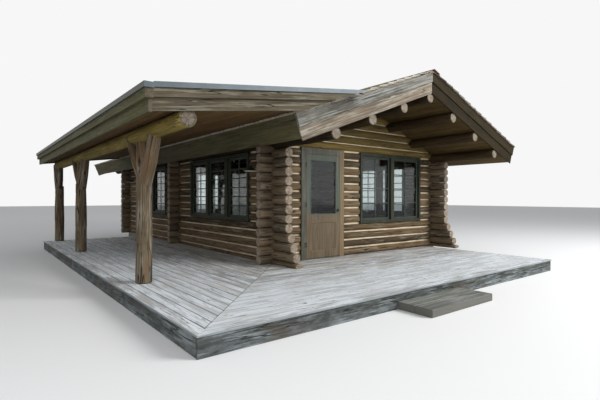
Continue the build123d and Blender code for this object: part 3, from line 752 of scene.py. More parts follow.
@dataclass
class Sketch:
    """A mesh in the making, with the wood data of each point."""

    name: str
    points: list[np.ndarray] = field(default_factory=list)
    faces: list[list[int]] = field(default_factory=list)
    marks: list[int] = field(default_factory=list)
    soft: list[bool] = field(default_factory=list)
    grain: list[np.ndarray] = field(default_factory=list)
    face: list[np.ndarray] = field(default_factory=list)
    tone: list[np.ndarray] = field(default_factory=list)
    bleach: list[np.ndarray] = field(default_factory=list)
    count: int = 0

    def add(self, points: np.ndarray, faces: Sequence[Sequence[int]], mark: int | Sequence[int] = 0,
            soft: bool = True, grain: np.ndarray | None = None, face: np.ndarray | None = None,
            tone: float = 0.5, bleach: np.ndarray | float = 0.0) -> None:
        """Adds a block of points and faces.

        Args:
            points: the block's points.
            faces: its faces, numbered from 0 in the block.
            mark: the material's number, for all faces or for each.
            soft: whether the faces are shaded smooth.
            grain: coordinates with the grain along x.
            face: coordinates from the heart of the log.
            tone: the piece's random value.
            bleach: how weathered each point is.
        """
        size = len(points)
        start = self.count
        self.points.append(points)
        self.faces.extend([[start + i for i in f] for f in faces])
        self.marks.extend([mark] * len(faces) if isinstance(mark, int) else mark)
        self.soft.extend([soft] * len(faces))
        self.grain.append(points if grain is None else grain)
        self.face.append(points if face is None else face)
        self.tone.append(np.full(size, tone))
        self.bleach.append(np.broadcast_to(np.asarray(bleach, float), (size,)))
        self.count += size

    def mesh(self) -> bpy.types.Mesh:
        """Makes the bare mesh, without finishes or data.

        Returns:
            The mesh.
        """
        made = bpy.data.meshes.new(self.name)
        made.from_pydata(np.concatenate(self.points).tolist(), [], self.faces)
        return made

    def build(self, finishes: Sequence[str], body: str = "cabin", slot: str | None = None,
              replaces: Sequence[str] = ()) -> None:
        """Makes the object and ties it to the frame.

        Args:
            finishes: names of the finishes, by material number.
            body: the frame's body that it rides on.
            slot: the record's material slot; not used.
            replaces: frame nodes that it stands for.
        """
        mesh = self.mesh()
        mesh.polygons.foreach_set("material_index", self.marks)
        mesh.polygons.foreach_set("use_smooth", self.soft)
        for name, kind, key, rows in (
            ("grain", "FLOAT_VECTOR", "vector", self.grain),
            ("face", "FLOAT_VECTOR", "vector", self.face),
            ("tone", "FLOAT", "value", self.tone),
            ("bleach", "FLOAT", "value", self.bleach),
        ):
            data = mesh.attributes.new(name, kind, "POINT").data
            data.foreach_set(key, np.concatenate(rows).astype(np.float32).ravel())
        for finish in finishes:
            mesh.materials.append(Finishes.get(finish))
        mesh.update()
        made = place_in_scene(self.name, mesh)
        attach(made, body)
        if replaces:
            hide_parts(*replaces)
        LOG.info("%s: %d points, %d faces", self.name, self.count, len(self.faces))


def rings_to_faces(rings: int, around: int, capped: bool = False) -> list[list[int]]:
    """Quads between rings of points.

    Args:
        rings: number of rings.
        around: points in each ring.
        capped: whether the first and the last ring get a face too.

    Returns:
        The faces.
    """
    row = np.arange(around)
    nxt = (row + 1) % around
    faces = []
    for r in range(rings - 1):
        a, b = r * around, (r + 1) * around
        faces.extend(np.stack([a + row, a + nxt, b + nxt, b + row], 1).tolist())
    if capped:
        faces += [row[::-1].tolist(), (row + (rings - 1) * around).tolist()]
    return faces


def read_points(mesh: bpy.types.Mesh) -> np.ndarray:
    """Reads a mesh's points.

    Args:
        mesh: the mesh.

    Returns:
        Its points, one to a row.
    """
    spots = np.empty(len(mesh.vertices) * 3)
    mesh.vertices.foreach_get("co", spots)
    return spots.reshape(-1, 3)


def box_of(node: str) -> Box:
    """Lowest and highest corner of a frame node."""
    low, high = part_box(node)
    return np.array(low), np.array(high)


def solids(node: str) -> list[Box]:
    """Boxes of the separate solids in a frame node.

    Args:
        node: the node's name.

    Returns:
        Lowest and highest corner of each, sorted by place.
    """
    mesh = FRAME_NODES[node].data
    spots = read_points(mesh)
    _, same = np.unique(np.round(spots, 5), axis=0, return_inverse=True)
    same = same.ravel()
    parent = list(range(same.max() + 1))

    def root(i: int) -> int:
        """Finds the group that a point belongs to.

        Args:
            i: the point's number.

        Returns:
            The number of the group's first point.
        """
        while parent[i] != i:
            parent[i] = parent[parent[i]]
            i = parent[i]
        return i

    for edge in mesh.edges:
        a, b = root(same[edge.vertices[0]]), root(same[edge.vertices[1]])
        parent[a] = b
    groups = np.array([root(i) for i in same])
    boxes = [(spots[groups == g].min(0), spots[groups == g].max(0)) for g in np.unique(groups)]
    return sorted(boxes, key=lambda b: tuple(np.round(b[0], 3)))


@dataclass
class LogMaker:
    """Draws one rounded log in the box of its solid."""

    around: int = 22
    step: float = 0.16
    square: float = 2.6
    swell: float = 0.0064
    swell_run: float = 1.4
    swell_turn: float = 2.1
    bow: float = 0.004
    plump: float = 0.005
    taper: float = 0.03
    lip: float = 0.006
    rim: float = 0.94
    stub_ease: float = 0.06
    stub_square: float = 2.25
    stub_plump: float = 0.003
    stub_bleach: float = 0.42
    end_rings: tuple[float, ...] = (1.0, 0.66, 0.33, 0.04)
    saw_marks: float = 0.0012
    hollow: tuple[float, float] = (-0.003, 0.001)

    def draw(self, sketch: Sketch, box: Box, axis: int, seed: int, stubs: tuple[float, float] | None = None) -> None:
        """Adds the log to a sketch.

        Args:
            sketch: the mesh in the making.
            box: the solid's box.
            axis: 0 for a log along x, 1 along y.
            seed: the log's number.
            stubs: where the wall ends, low and high; beyond it the log is rounder and paler.
        """
        low, high = box
        dice = np.random.default_rng(seed)
        start, end = low[axis], high[axis]
        length = end - start
        cross = 1 - axis
        half_w = (high[cross] - low[cross]) / 2
        half_h = (high[2] - low[2]) / 2 + self.plump
        count = max(3, int(length / self.step) + 1)
        lip = min(self.lip, length / 6)
        along = np.concatenate([[start], np.linspace(start + lip, end - lip, count), [end]])
        turn = np.linspace(0, 2 * math.pi, self.around, endpoint=False)
        out = np.zeros(len(along))
        if stubs:
            out = np.clip(np.maximum(stubs[0] - along, along - stubs[1]) / self.stub_ease, 0, 1)
        power = self.square + (self.stub_square - self.square) * out
        cos, sin = np.cos(turn)[None], np.sin(turn)[None]
        size = (np.abs(cos) ** power[:, None] + np.abs(sin) ** power[:, None]) ** (-1 / power[:, None])
        tall = half_h + out * self.stub_plump
        knobs = waves(seed * 7 + 1, 5)
        lumps = waves(seed * 7 + 2, 5)
        ripple = np.stack([sway(knobs, along * self.swell_run + self.swell_turn * math.cos(t) + math.sin(2 * t))
                           for t in turn], 1)
        ripple = 1.0 + ripple * self.swell / half_w
        taper = 1.0 + (along - (start + end) / 2) / max(length, 1.0) * dice.uniform(-self.taper, self.taper)
        rim = np.ones(len(along))
        rim[0] = rim[-1] = self.rim
        size = size * ripple * (rim * taper)[:, None]
        side = size * cos * half_w + (sway(lumps, along) * self.bow)[:, None]
        rise = size * sin * tall[:, None]
        middle = (low + high) / 2
        points = np.empty((len(along), self.around, 3))
        points[..., axis] = along[:, None]
        points[..., cross] = middle[cross] + side
        points[..., 2] = middle[2] + rise
        shift = dice.uniform(-GRAIN_SHIFT, GRAIN_SHIFT, 3)
        grain = np.stack([np.broadcast_to(along[:, None], side.shape) + shift[0], side + shift[1],
                          rise + shift[2]], -1)
        heart = np.stack([np.zeros_like(side), side, rise], -1)
        fade = np.broadcast_to((out * self.stub_bleach)[:, None], side.shape)
        tone = float(dice.uniform(0, 1))
        sketch.add(points.reshape(-1, 3), rings_to_faces(len(along), self.around), 0, True,
                   grain.reshape(-1, 3), heart.reshape(-1, 3), tone, fade.ravel())
        for ring, outward in ((0, -1), (-1, 1)):
            self.cap(sketch, points[ring], grain[ring], heart[ring], axis, outward, tone, dice)

    def cap(self, sketch: Sketch, rim: np.ndarray, grain: np.ndarray, heart: np.ndarray, axis: int,
            outward: int, tone: float, dice: np.random.Generator) -> None:
        """Closes a log end with rings of end grain.

        Args:
            sketch: the mesh in the making.
            rim: the last ring's points.
            grain: their grain coordinates.
            heart: their places from the heart.
            axis: the log's direction.
            outward: 1 at the high end, -1 at the low one.
            tone: the log's random value.
            dice: the log's random numbers.
        """
        rows, grains, hearts = [], [], []
        for share in self.end_rings:
            row = rim.mean(0) + (rim - rim.mean(0)) * share
            sunk = (1 - share) * outward
            row[:, axis] += dice.normal(0, self.saw_marks, len(rim)) - sunk * dice.uniform(*self.hollow)
            rows.append(row)
            grains.append(grain.mean(0) + (grain - grain.mean(0)) * share)
            hearts.append(heart.mean(0) + (heart - heart.mean(0)) * share)
        rows[0][:, axis] = rim[:, axis]
        faces = rings_to_faces(len(rows), len(rim))
        heart_ring = (len(rows) - 1) * len(rim)
        faces.append([heart_ring + i for i in range(len(rim))])
        sketch.add(np.concatenate(rows), faces, 1, False, np.concatenate(grains), np.concatenate(hearts), tone)


def plank(sketch: Sketch, low: np.ndarray, high: np.ndarray, axis: int, seed: int, chamfer: float = 0.005,
          skew: tuple[float, float] = (0.0, 0.0), mark: int = 0, bleach: float = 0.0,
          lean: tuple[np.ndarray, np.ndarray] | None = None) -> None:
    """Adds a sawn board with eased edges and a slight bow.

    Args:
        sketch: the mesh in the making.
        low: lowest corner.
        high: highest corner.
        axis: the board's direction.
        seed: the board's number.
        chamfer: size of the eased edges.
        skew: how far each end is cut on the slant, per metre of width.
        mark: the material's number.
        bleach: how weathered it is.
        lean: origin and three directions of the board's own frame, or None for the cabin's.
    """
    dice = np.random.default_rng(seed)
    others = [i for i in range(3) if i != axis]
    size = (high - low) / 2
    middle = (high + low) / 2
    a, b = size[others[0]], size[others[1]]
    c = min(chamfer, a * 0.4, b * 0.4)
    outline = np.array([(-a + c, -b), (a - c, -b), (a, -b + c), (a, b - c), (a - c, b), (-a + c, b), (-a, b - c),
                        (-a, -b + c)])
    length = high[axis] - low[axis]
    count = max(2, int(length / PLANK_SPAN) + 1)
    along = np.linspace(low[axis], high[axis], count)
    bend = sway(waves(seed + 5), along) * min(PLANK_BEND, c)
    points = np.empty((count, 8, 3))
    points[..., others[0]] = middle[others[0]] + outline[None, :, 0] + bend[:, None] * 0.6
    points[..., others[1]] = middle[others[1]] + outline[None, :, 1] + bend[:, None] * 0.5
    points[..., axis] = along[:, None]
    points[0, :, axis] += outline[:, 0] * skew[0]
    points[-1, :, axis] += outline[:, 0] * skew[1]
    shift = dice.uniform(-GRAIN_SHIFT, GRAIN_SHIFT, 3)
    grain = np.stack([points[..., axis] + shift[0], points[..., others[0]] + shift[1],
                      points[..., others[1]] + shift[2]], -1)
    faces = rings_to_faces(count, 8, capped=True)
    spots = points.reshape(-1, 3)
    turned = axis == 1
    if lean:
        spots = lean[0] + spots @ lean[1]
        turned = turned != (np.linalg.det(lean[1]) < 0)
    if turned:
        faces = [f[::-1] for f in faces]
    sketch.add(spots, faces, mark, False, grain.reshape(-1, 3), None, float(dice.uniform(0, 1)), bleach)


def dress(node: str, finish: str, edge: float = 0.0) -> None:
    """Gives a frame node its finish and eased edges.

    Args:
        node: the node's name.
        finish: the finish's name.
        edge: width of its bevel, or 0 for none.
    """
    piece = FRAME_NODES[node]
    piece.data.materials.clear()
    piece.data.materials.append(Finishes.get(finish))
    if edge:
        bevel = piece.modifiers.new("eased_edges", "BEVEL")
        bevel.width = edge
        bevel.segments = 2
        bevel.limit_method = "ANGLE"
        bevel.angle_limit = math.radians(40)
    LOG.info("%s: finish %s", node, finish)


@dataclass
class Datum:
    """The corner of the log walls that all sizes are measured from."""

    x: float = 0.0
    y: float = 0.0
    length: float = 8.93
    width: float = 5.0
    inset: float = 0.015

    @classmethod
    def find(cls) -> "Datum":
        """Reads it from the plinth, which stands back from the log walls.

        Returns:
            The datum.
        """
        low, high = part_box("plinth")
        inset = cls.inset
        return cls(low.x - inset, low.y - inset, high.y - low.y + 2 * inset, high.x - low.x + 2 * inset)


@dataclass
class LogWalls:
    """The log courses of the four walls, the gables, the plates and the purlins."""

    datum: Datum
    seed: int = 100
    hewn: LogMaker = field(default_factory=LogMaker)
    pole: LogMaker = field(default_factory=lambda: LogMaker(square=2.05, plump=0.0))

    def build(self) -> None:
        """Draws every log."""
        d = self.datum
        in_x, in_y = (d.x, d.x + d.width), (d.y, d.y + d.length)
        walls = (("front_wall_left", 0, in_x), ("front_wall_right", 0, in_x), ("back_wall", 0, in_x),
                 ("left_wall", 1, in_y), ("right_wall", 1, in_y), ("rib_stubs", 0, in_x))
        rows = [(node, "_logs", self.hewn, axis, stubs, "log", "log_end") for node, axis, stubs in walls]
        rows += [(node, "_logs", self.hewn, 0, None, "gable", "log_end") for node in ("front_gable", "back_gable")]
        rows += [(node, "_round", self.pole, 1, None, "purlin", "round_end")
                 for node in ("plate_logs", "ridge_log_and_purlins")]
        seed = self.seed
        for node, ending, maker, axis, stubs, side, end in rows:
            sketch = Sketch(node + ending)
            for box in solids(node):
                seed += 1
                maker.draw(sketch, box, axis, seed, stubs)
            sketch.build((side, end), slot="log_wood", replaces=(node,))


@dataclass
class MortarLines:
    """Chinking between the log courses, pressed in by hand."""

    side_half: float = 0.050
    end_half: float = 0.052
    gable_half: float = 0.044
    gable_from: float = 2.42
    tall: float = 0.044
    step: float = 0.09
    wave: float = 0.005
    seed: int = 900
    section: tuple[tuple[float, float], ...] = (
        (-1, -1), (-1.02, -0.4), (-1.02, 0.4), (-1, 1), (1, 1), (1.02, 0.4), (1.02, -0.4), (1, -1))

    def build(self) -> None:
        """Lays the mortar of all walls."""
        for node, axis in (("side_chinking", 1), ("end_chinking", 0)):
            sketch = Sketch(node + "_mortar")
            for number, box in enumerate(solids(node)):
                half = self.side_half if axis else self.end_half
                if box[0][2] > self.gable_from:
                    half = self.gable_half
                self.lay(sketch, box, axis, self.seed + number, half)
            sketch.build(("mortar",), slot="chinking", replaces=(node,))

    def lay(self, sketch: Sketch, box: Box, axis: int, seed: int, half: float) -> None:
        """Adds one line of mortar.

        Args:
            sketch: the mesh in the making.
            box: the solid's box.
            axis: 0 along x, 1 along y.
            seed: the line's number.
            half: how far its faces lie from the wall's middle.
        """
        low, high = box
        cross = 1 - axis
        middle = (low + high) / 2
        count = max(3, int((high[axis] - low[axis]) / self.step))
        along = np.linspace(low[axis], high[axis], count)
        points = np.empty((count, 8, 3))
        for i, (side, up) in enumerate(self.section):
            wave = sway(waves(seed * 11 + (1 if side > 0 else 2) + (int(up * 2.5) + 3) * 3, 6), along * 4)
            points[:, i, axis] = along
            points[:, i, cross] = middle[cross] + side * half + wave * self.wave * np.sign(side)
            points[:, i, 2] = middle[2] + up * self.tall
        sketch.add(points.reshape(-1, 3), rings_to_faces(count, 8, capped=True))


@dataclass
class ShakeRoof:
    """Split cedar shakes in courses on one slope."""

    node: str
    uphill: int
    slope: float
    exposure: float = 0.235
    butt: float = 0.024
    tilt: float = 0.030
    over: float = 0.0
    lip: float = 0.0
    eave_lip: float = 0.0
    proud: float = 0.0
    # Whether the shakes along the front edge take painted shade.
    shade_front_edge: bool = False
    seed: int = 1
    lap: float = 1.9
    widths: tuple[float, float] = (0.09, 0.26)
    narrowest: float = 0.06
    gap: float = 0.0025
    slip: float = 0.02
    uneven: float = 0.004
    head: float = 0.005
    beds: tuple[float, float, float, float] = (-0.058, -0.010, -0.045, -0.003)
    top_bed: float = 0.10
    settle: float = 0.5
    # Tone and bleach of the painted shade on the front edge's shakes.
    front_edge_shade: tuple[float, float] = (0.1, -0.5)

    def build(self) -> None:
        """Lays the shakes from the eave up."""
        dice = np.random.default_rng(self.seed)
        low, high = box_of(self.node)
        low[1], high[1] = low[1] - self.over - self.lip, high[1] + self.over
        if self.uphill > 0:
            low[0] -= self.over + self.eave_lip
        else:
            high[0] += self.over + self.eave_lip
        run = high[0] - low[0]
        pitch = math.atan(self.slope)
        length = run / math.cos(pitch)
        eave_x = low[0] if self.uphill > 0 else high[0]
        eave_z = high[2] - run * self.slope
        up = np.array([self.uphill * math.cos(pitch), 0.0, math.sin(pitch)])
        out = np.array([-self.uphill * math.sin(pitch), 0.0, math.cos(pitch)])
        corner = np.array([eave_x, low[1], eave_z])
        sketch = Sketch(self.node + "_shakes")
        rows = int(math.ceil(length / self.exposure))
        for row in range(rows):
            foot = row * length / rows
            head = min(length, foot + self.exposure * self.lap)
            y = low[1]
            while y < high[1] - self.uneven:
                width = min(float(dice.uniform(*self.widths)), high[1] - y)
                if high[1] - y - width < self.narrowest:
                    width = high[1] - y
                raised = out * self.proud * min(1.0, (length - foot) / self.settle - 0.5)
                self.shake(sketch, corner + raised, up, out, (foot, head), (y - low[1], y - low[1] + width), dice)
                y += width
        foot = self.over + self.eave_lip + self.uneven
        near, far = self.over + self.lip, high[1] - low[1] - self.over
        # One bed closes the gaps below the courses, and one the heads under the ridge cap.
        low_under, low_over, top_under, top_over = self.beds
        for start, under, over in ((foot, low_under, low_over - 0.53 * self.tilt),
                                   (length - self.top_bed, top_under, top_over)):
            bed = [corner + out * s + up * t + np.array([0, w, 0])
                   for s in (under, over) for t, w in ((start, near), (length, near), (length, far), (start, far))]
            sketch.add(np.array(bed), [[0, 3, 2, 1], [4, 5, 6, 7], [0, 1, 5, 4], [1, 2, 6, 5], [2, 3, 7, 6],
                                       [3, 0, 4, 7]], 0, False)
        sketch.build(("shake",), slot="roof_shakes", replaces=(self.node,))

    def shake(self, sketch: Sketch, corner: np.ndarray, up: np.ndarray, out: np.ndarray,
              reach: tuple[float, float], width: tuple[float, float], dice: np.random.Generator) -> None:
        """Adds one shake, a wedge with a ragged butt.

        Args:
            sketch: the mesh in the making.
            corner: the slope's low corner.
            up: direction up the slope.
            out: direction out of the slope.
            reach: distances of butt and head from the eave.
            width: where it lies across the slope.
            dice: the slope's random numbers.
        """
        foot, head = reach
        slip = float(dice.uniform(0, self.slip)) if foot > 0 else 0.0
        thick = self.butt * float(dice.uniform(0.65, 1.0))
        top = -float(dice.uniform(0.0, self.uneven))
        skew = float(dice.uniform(-self.uneven, self.uneven)) if foot > 0 else 0.0
        near, far, deep = foot + slip, foot + slip + skew, -self.tilt
        places = ((near, top - thick), (far, top - thick), (far, top), (near, top),
                  (head, deep), (head, deep), (head, deep + self.head), (head, deep + self.head))
        points = np.array([corner + up * along + out * height for along, height in places])
        points[[0, 3, 4, 7], 1] += width[0] + self.gap
        points[[1, 2, 5, 6], 1] += width[1] - self.gap
        base = float(dice.uniform(0, 50))
        grain = np.stack([points @ up + base, points[:, 1] + base, points @ out], 1)
        faces = [[0, 1, 2, 3], [7, 6, 5, 4], [3, 2, 6, 7], [0, 4, 5, 1], [0, 3, 7, 4], [1, 5, 6, 2]]
        tone, bleach = float(dice.uniform(0, 1)), float(dice.uniform(0, 0.3))
        # Painted shade: the shakes along the front edge get a low tone and negative bleach.
        if self.shade_front_edge and width[0] == 0.0:
            tone, bleach = self.front_edge_shade
        sketch.add(points, faces, 0, False, grain, None, tone, bleach)


@dataclass
class Deck:
    """Planks of the deck, mitred at its outer corner, with its border, skirt and step."""

    datum: Datum
    board: float = 0.140
    gap: float = 0.007
    border: float = 0.14
    border_bleach: float = 0.25
    half_butt: float = 0.002
    uneven: float = 0.0008
    skirt_board: float = 0.04
    skirt_run: float = 4.2
    skirt_butt: float = 0.0015
    shadow_gap: float = 0.006
    step_gap: float = 0.003
    clear: float = 0.001
    seed: int = 5000

    def build(self) -> None:
        """Lays the planks, the skirt and the step."""
        front, side = box_of("deck_boards_front"), box_of("deck_boards_side")
        low = np.array([side[0][0], front[0][1], front[0][2]])
        side[1][2] = front[1][2]
        ratio = (side[1][0] - low[0]) / (front[1][1] - low[1])
        self.strip("front", low, front[1], 0, ratio, self.seed)
        self.strip("side", low, side[1], 1, 1 / ratio, self.seed + 1000)
        self.skirt()
        self.step()

    @staticmethod
    def joint(axis: int, number: int, begin: float, end: float) -> float:
        """Where a plank is butted, staggered from plank to plank.

        Args:
            axis: the strip's direction.
            number: the plank's number in the strip.
            begin: where the plank begins.
            end: where it ends.

        Returns:
            The joint's place.
        """
        if axis:
            return begin + (end - begin) * (0.35 + 0.3 * (number * 3 % 4) / 3)
        return begin + (end - begin) * 0.4 + 0.3 * (number * 7 % 5 - 2)

    def strip(self, side: str, low: np.ndarray, high: np.ndarray, axis: int, slant: float, seed: int) -> None:
        """Lays the planks of one side, each in two lengths, inside a border plank.

        Args:
            side: the side's name in the frame.
            low: the deck's outer corner, at the planks' underside.
            high: the strip's other corner, at their top.
            axis: the planks' direction.
            slant: how far the mitre runs along the planks for each metre across them.
            seed: the border plank's number, which the others follow.
        """
        sketch = Sketch(f"deck_{side}_planks")
        cross = 1 - axis
        start, end = low.copy(), high.copy()
        start[axis] += self.border / 2
        end[cross] = low[cross] + self.border
        plank(sketch, start, end, axis, seed, skew=(slant, 0.0), bleach=self.border_bleach)
        first = low[cross] + self.border
        count = int(round((high[cross] - first) / (self.board + self.gap)))
        pitch = (high[cross] - first) / count
        for i in range(count):
            start, end = low.copy(), high.copy()
            start[cross], end[cross] = first + i * pitch + self.gap, first + (i + 1) * pitch
            begin = low[axis] + ((start[cross] + end[cross]) / 2 - low[cross]) * slant + self.gap
            middle = self.joint(axis, i, begin, high[axis])
            for j, reach in enumerate(((begin, middle - self.half_butt), (middle + self.half_butt, high[axis]))):
                start[axis], end[axis] = reach
                end[2] = high[2] - self.uneven * ((i * axis + j) % 3)
                plank(sketch, start, end, axis, seed + 1 + i * 3 + j, skew=(0.0 if j else slant, 0.0),
                      bleach=self.sun(i / count))
        sketch.build(("deck",), slot="deck_wood", replaces=(f"deck_boards_{side}",))

    @staticmethod
    def sun(share: float) -> float:
        """How bleached a board is: most at the edge, least by the wall.

        Args:
            share: 0 at the outer edge, 1 at the wall.

        Returns:
            The value for the mesh's bleach data.
        """
        return 0.5 - 0.9 * max(0.0, share - 0.25) / 0.75

    def skirt(self) -> None:
        """Sets wide planks on edge under the deck, butted every few metres."""
        sketch = Sketch("deck_skirt_planks")
        low, high = box_of("deck_skirt")
        (x0, y0, _), (x1, y1, top), t = low, high, self.skirt_board
        runs = ((x0, x1, y0, y0 + t, 0), (x0, x0 + t, y0 + t, y1, 1), (x1 - t, x1, y0 + t, self.datum.y, 1),
                (x0 + t, self.datum.x, y1 - t, y1, 0))
        for number, (west, east, south, north, axis) in enumerate(runs):
            low = np.array([west, south, self.clear])
            high = np.array([east, north, top - self.shadow_gap])
            pieces = max(1, int(round((high[axis] - low[axis]) / self.skirt_run)))
            cuts = np.linspace(low[axis], high[axis], pieces + 1)
            for row in range(pieces):
                start, end = low.copy(), high.copy()
                start[axis] = cuts[row] + (self.skirt_butt if row else 0.0)
                end[axis] = cuts[row + 1] - (self.skirt_butt if row < pieces - 1 else 0.0)
                plank(sketch, start, end, axis, self.seed + 2000 + number * 4 + row, 0.004)
        sketch.build(("skirt",), slot="skirt_wood", replaces=("deck_skirt",))

    def step(self) -> None:
        """Lays the entry step as two thick slabs."""
        sketch = Sketch("entry_step_slabs")
        low, high = box_of("entry_step")
        low[1:] += self.skirt_butt, self.clear
        middle = (low[1] + high[1]) / 2
        for number, near, far in ((1, low[1], middle - self.step_gap), (2, middle + self.step_gap, high[1])):
            start, end = np.array([low[0], near, low[2]]), np.array([high[0], far, high[2]])
            plank(sketch, start, end, 0, self.seed + 2100 + number, 0.006)
        sketch.build(("step",), slot="deck_wood", replaces=("entry_step",))


@dataclass
class Limb:
    """One straight run of a forked trunk."""

    start: np.ndarray
    end: np.ndarray
    thick: float
    thin: float


@dataclass
class ForkedPosts:
    """Peeled tree trunks with three prongs that carry the porch beam."""

    fork: float = 1.50
    radius: float = 0.113
    prongs: tuple[tuple[float, float, float, float], ...] = (
        (-0.48, 0.0, 0.094, 0.084), (0.18, 0.01, 0.070, 0.058), (0.48, -0.07, 0.058, 0.044))
    voxel: float = 0.012
    waist: float = 0.55
    stems: tuple[float, float] = (0.104, 0.097)
    rings: int = 6
    around: int = 20
    dent: float = 0.0022
    beam_seed: int = 77
    beam: LogMaker = field(default_factory=lambda: LogMaker(square=2.0, plump=0.0, bow=0.005))

    def build(self) -> None:
        """Grows the posts and the beam."""
        for number in (1, 2, 3):
            self.post(f"porch_post_{number}", number)
        sketch = Sketch("porch_beam_log")
        for box in solids("porch_beam"):
            self.beam.draw(sketch, box, 1, self.beam_seed)
        sketch.build(("beam", "beam_end"), slot="beam_wood", replaces=("porch_beam",))

    def limbs(self, node: str, way: int) -> list[Limb]:
        """The runs of one post, from its node's lowest points.

        Args:
            node: the post's node.
            way: 1 if the thick prong leans to the front, -1 if to the back.

        Returns:
            The trunk and its prongs.
        """
        spots = read_points(FRAME_NODES[node].data)
        base = spots[spots[:, 2] < spots[:, 2].min() + 0.001]
        foot = (base.min(0) + base.max(0)) / 2
        top = spots[:, 2].max() - 0.01
        fork = foot + np.array([0.0, 0.0, self.fork])
        waist = foot + np.array([0.0, 0.0, self.fork * self.waist])
        runs = [Limb(foot, waist, self.radius, self.radius)]
        for side, size in zip((-way, way), self.stems):
            start = waist + np.array([0.008 * side, 0.010 * side, -0.25])
            runs.append(Limb(start, fork + np.array([0.010 * side, 0.030 * side, 0.02]), self.radius * 0.98, size))
        for along, outward, thick, thin in self.prongs:
            tip = np.array([foot[0] + outward, foot[1] + way * along, top])
            lean = way * float(np.sign(along))
            start = fork + np.array([0.0, 0.03 * lean, -0.10])
            bend = start + (tip - start) * 0.45 + np.array([0.0, 0.025 * lean, -0.02])
            runs.append(Limb(start, bend, thick * 1.06, thick))
            runs.append(Limb(bend, tip, thick, thin))
        return runs

    def post(self, node: str, seed: int) -> None:
        """Grows one post: tubes fused into one skin.

        Args:
            node: the post's node.
            seed: the post's number.
        """
        runs = self.limbs(node, 1 if seed < 3 else -1)
        rough = Sketch(node + "_tubes")
        for run in runs:
            self.tube(rough, run)
        body = place_in_scene(rough.name, rough.mesh())
        skin = body.modifiers.new("skin", "REMESH")
        skin.mode = "VOXEL"
        skin.voxel_size = self.voxel
        calm = body.modifiers.new("calm", "SMOOTH")
        calm.iterations = 5
        calm.factor = 0.6
        drawn = bpy.data.meshes.new_from_object(body.evaluated_get(bpy.context.evaluated_depsgraph_get()))
        faces = [list(p.vertices) for p in drawn.polygons]
        bpy.data.objects.remove(body)
        self.finish(node, read_points(drawn), faces, runs, seed)

    def tube(self, sketch: Sketch, run: Limb) -> None:
        """Adds the tube of one run.

        Args:
            sketch: the mesh in the making.
            run: the run.
        """
        axis = run.end - run.start
        axis /= np.linalg.norm(axis)
        side = np.cross(axis, (0.0, 1.0, 0.0) if abs(axis[1]) < 0.8 else (1.0, 0.0, 0.0))
        side /= np.linalg.norm(side)
        other = np.cross(axis, side)
        turn = np.linspace(0, 2 * math.pi, self.around, endpoint=False)
        rows = []
        for share in np.linspace(0, 1, self.rings):
            size = run.thick + (run.thin - run.thick) * share
            ring = run.start + (run.end - run.start) * share
            rows.append(ring + size * (np.cos(turn)[:, None] * side + np.sin(turn)[:, None] * other))
        sketch.add(np.concatenate(rows), rings_to_faces(self.rings, self.around, capped=True))

    def finish(self, node: str, points: np.ndarray, faces: list[list[int]], runs: list[Limb], seed: int) -> None:
        """Adds dents and grain data to the skin and makes the piece.

        Args:
            node: the post's node.
            points: the skin's points.
            faces: its faces.
            runs: the post's runs.
            seed: the post's number.
        """
        best = np.full(len(points), 1e9)
        grain = np.zeros_like(points)
        for run in runs:
            span = run.end - run.start
            share = np.clip((points - run.start) @ span / (span @ span), -0.1, 1.1)
            off = points - run.start - share[:, None] * span
            gap = np.linalg.norm(off, axis=1) / (run.thick + (run.thin - run.thick) * share)
            near = gap < best
            best[near] = gap[near]
            row = np.stack([share * np.linalg.norm(span) + run.start[2], off[:, 0], off[:, 1] + off[:, 2] * 0.3], 1)
            grain[near] = row[near]
        low = points[:, 2].min()
        wave = sum(np.sin(points @ np.array(k) * f + p) for k, f, p in
                   (((1, 0.6, 0.1), 21, seed), ((-0.5, 1, 0.15), 27, 1 + seed), ((0.7, -0.8, 0.5), 13, 2)))
        flat = points[:, :2] - runs[0].start[:2]
        size = np.linalg.norm(flat, axis=1, keepdims=True) + 1e-6
        trunk = (points[:, 2] < low + self.fork - 0.2)[:, None]
        points[:, :2] += np.where(trunk, flat / size * wave[:, None] * self.dent, 0)
        sketch = Sketch(node + "_trunk")
        end = [1 if all(points[i, 2] < low + 0.004 for i in f) else 0 for f in faces]
        sketch.add(points, faces, end, True, grain + seed * 5.3, points - runs[0].start, 0.3 + 0.2 * seed,
                   np.clip(0.35 - (points[:, 2] - low) * 0.5, 0, 0.4))
        sketch.build(("post", "round_end"), slot="post_wood", replaces=(node,))


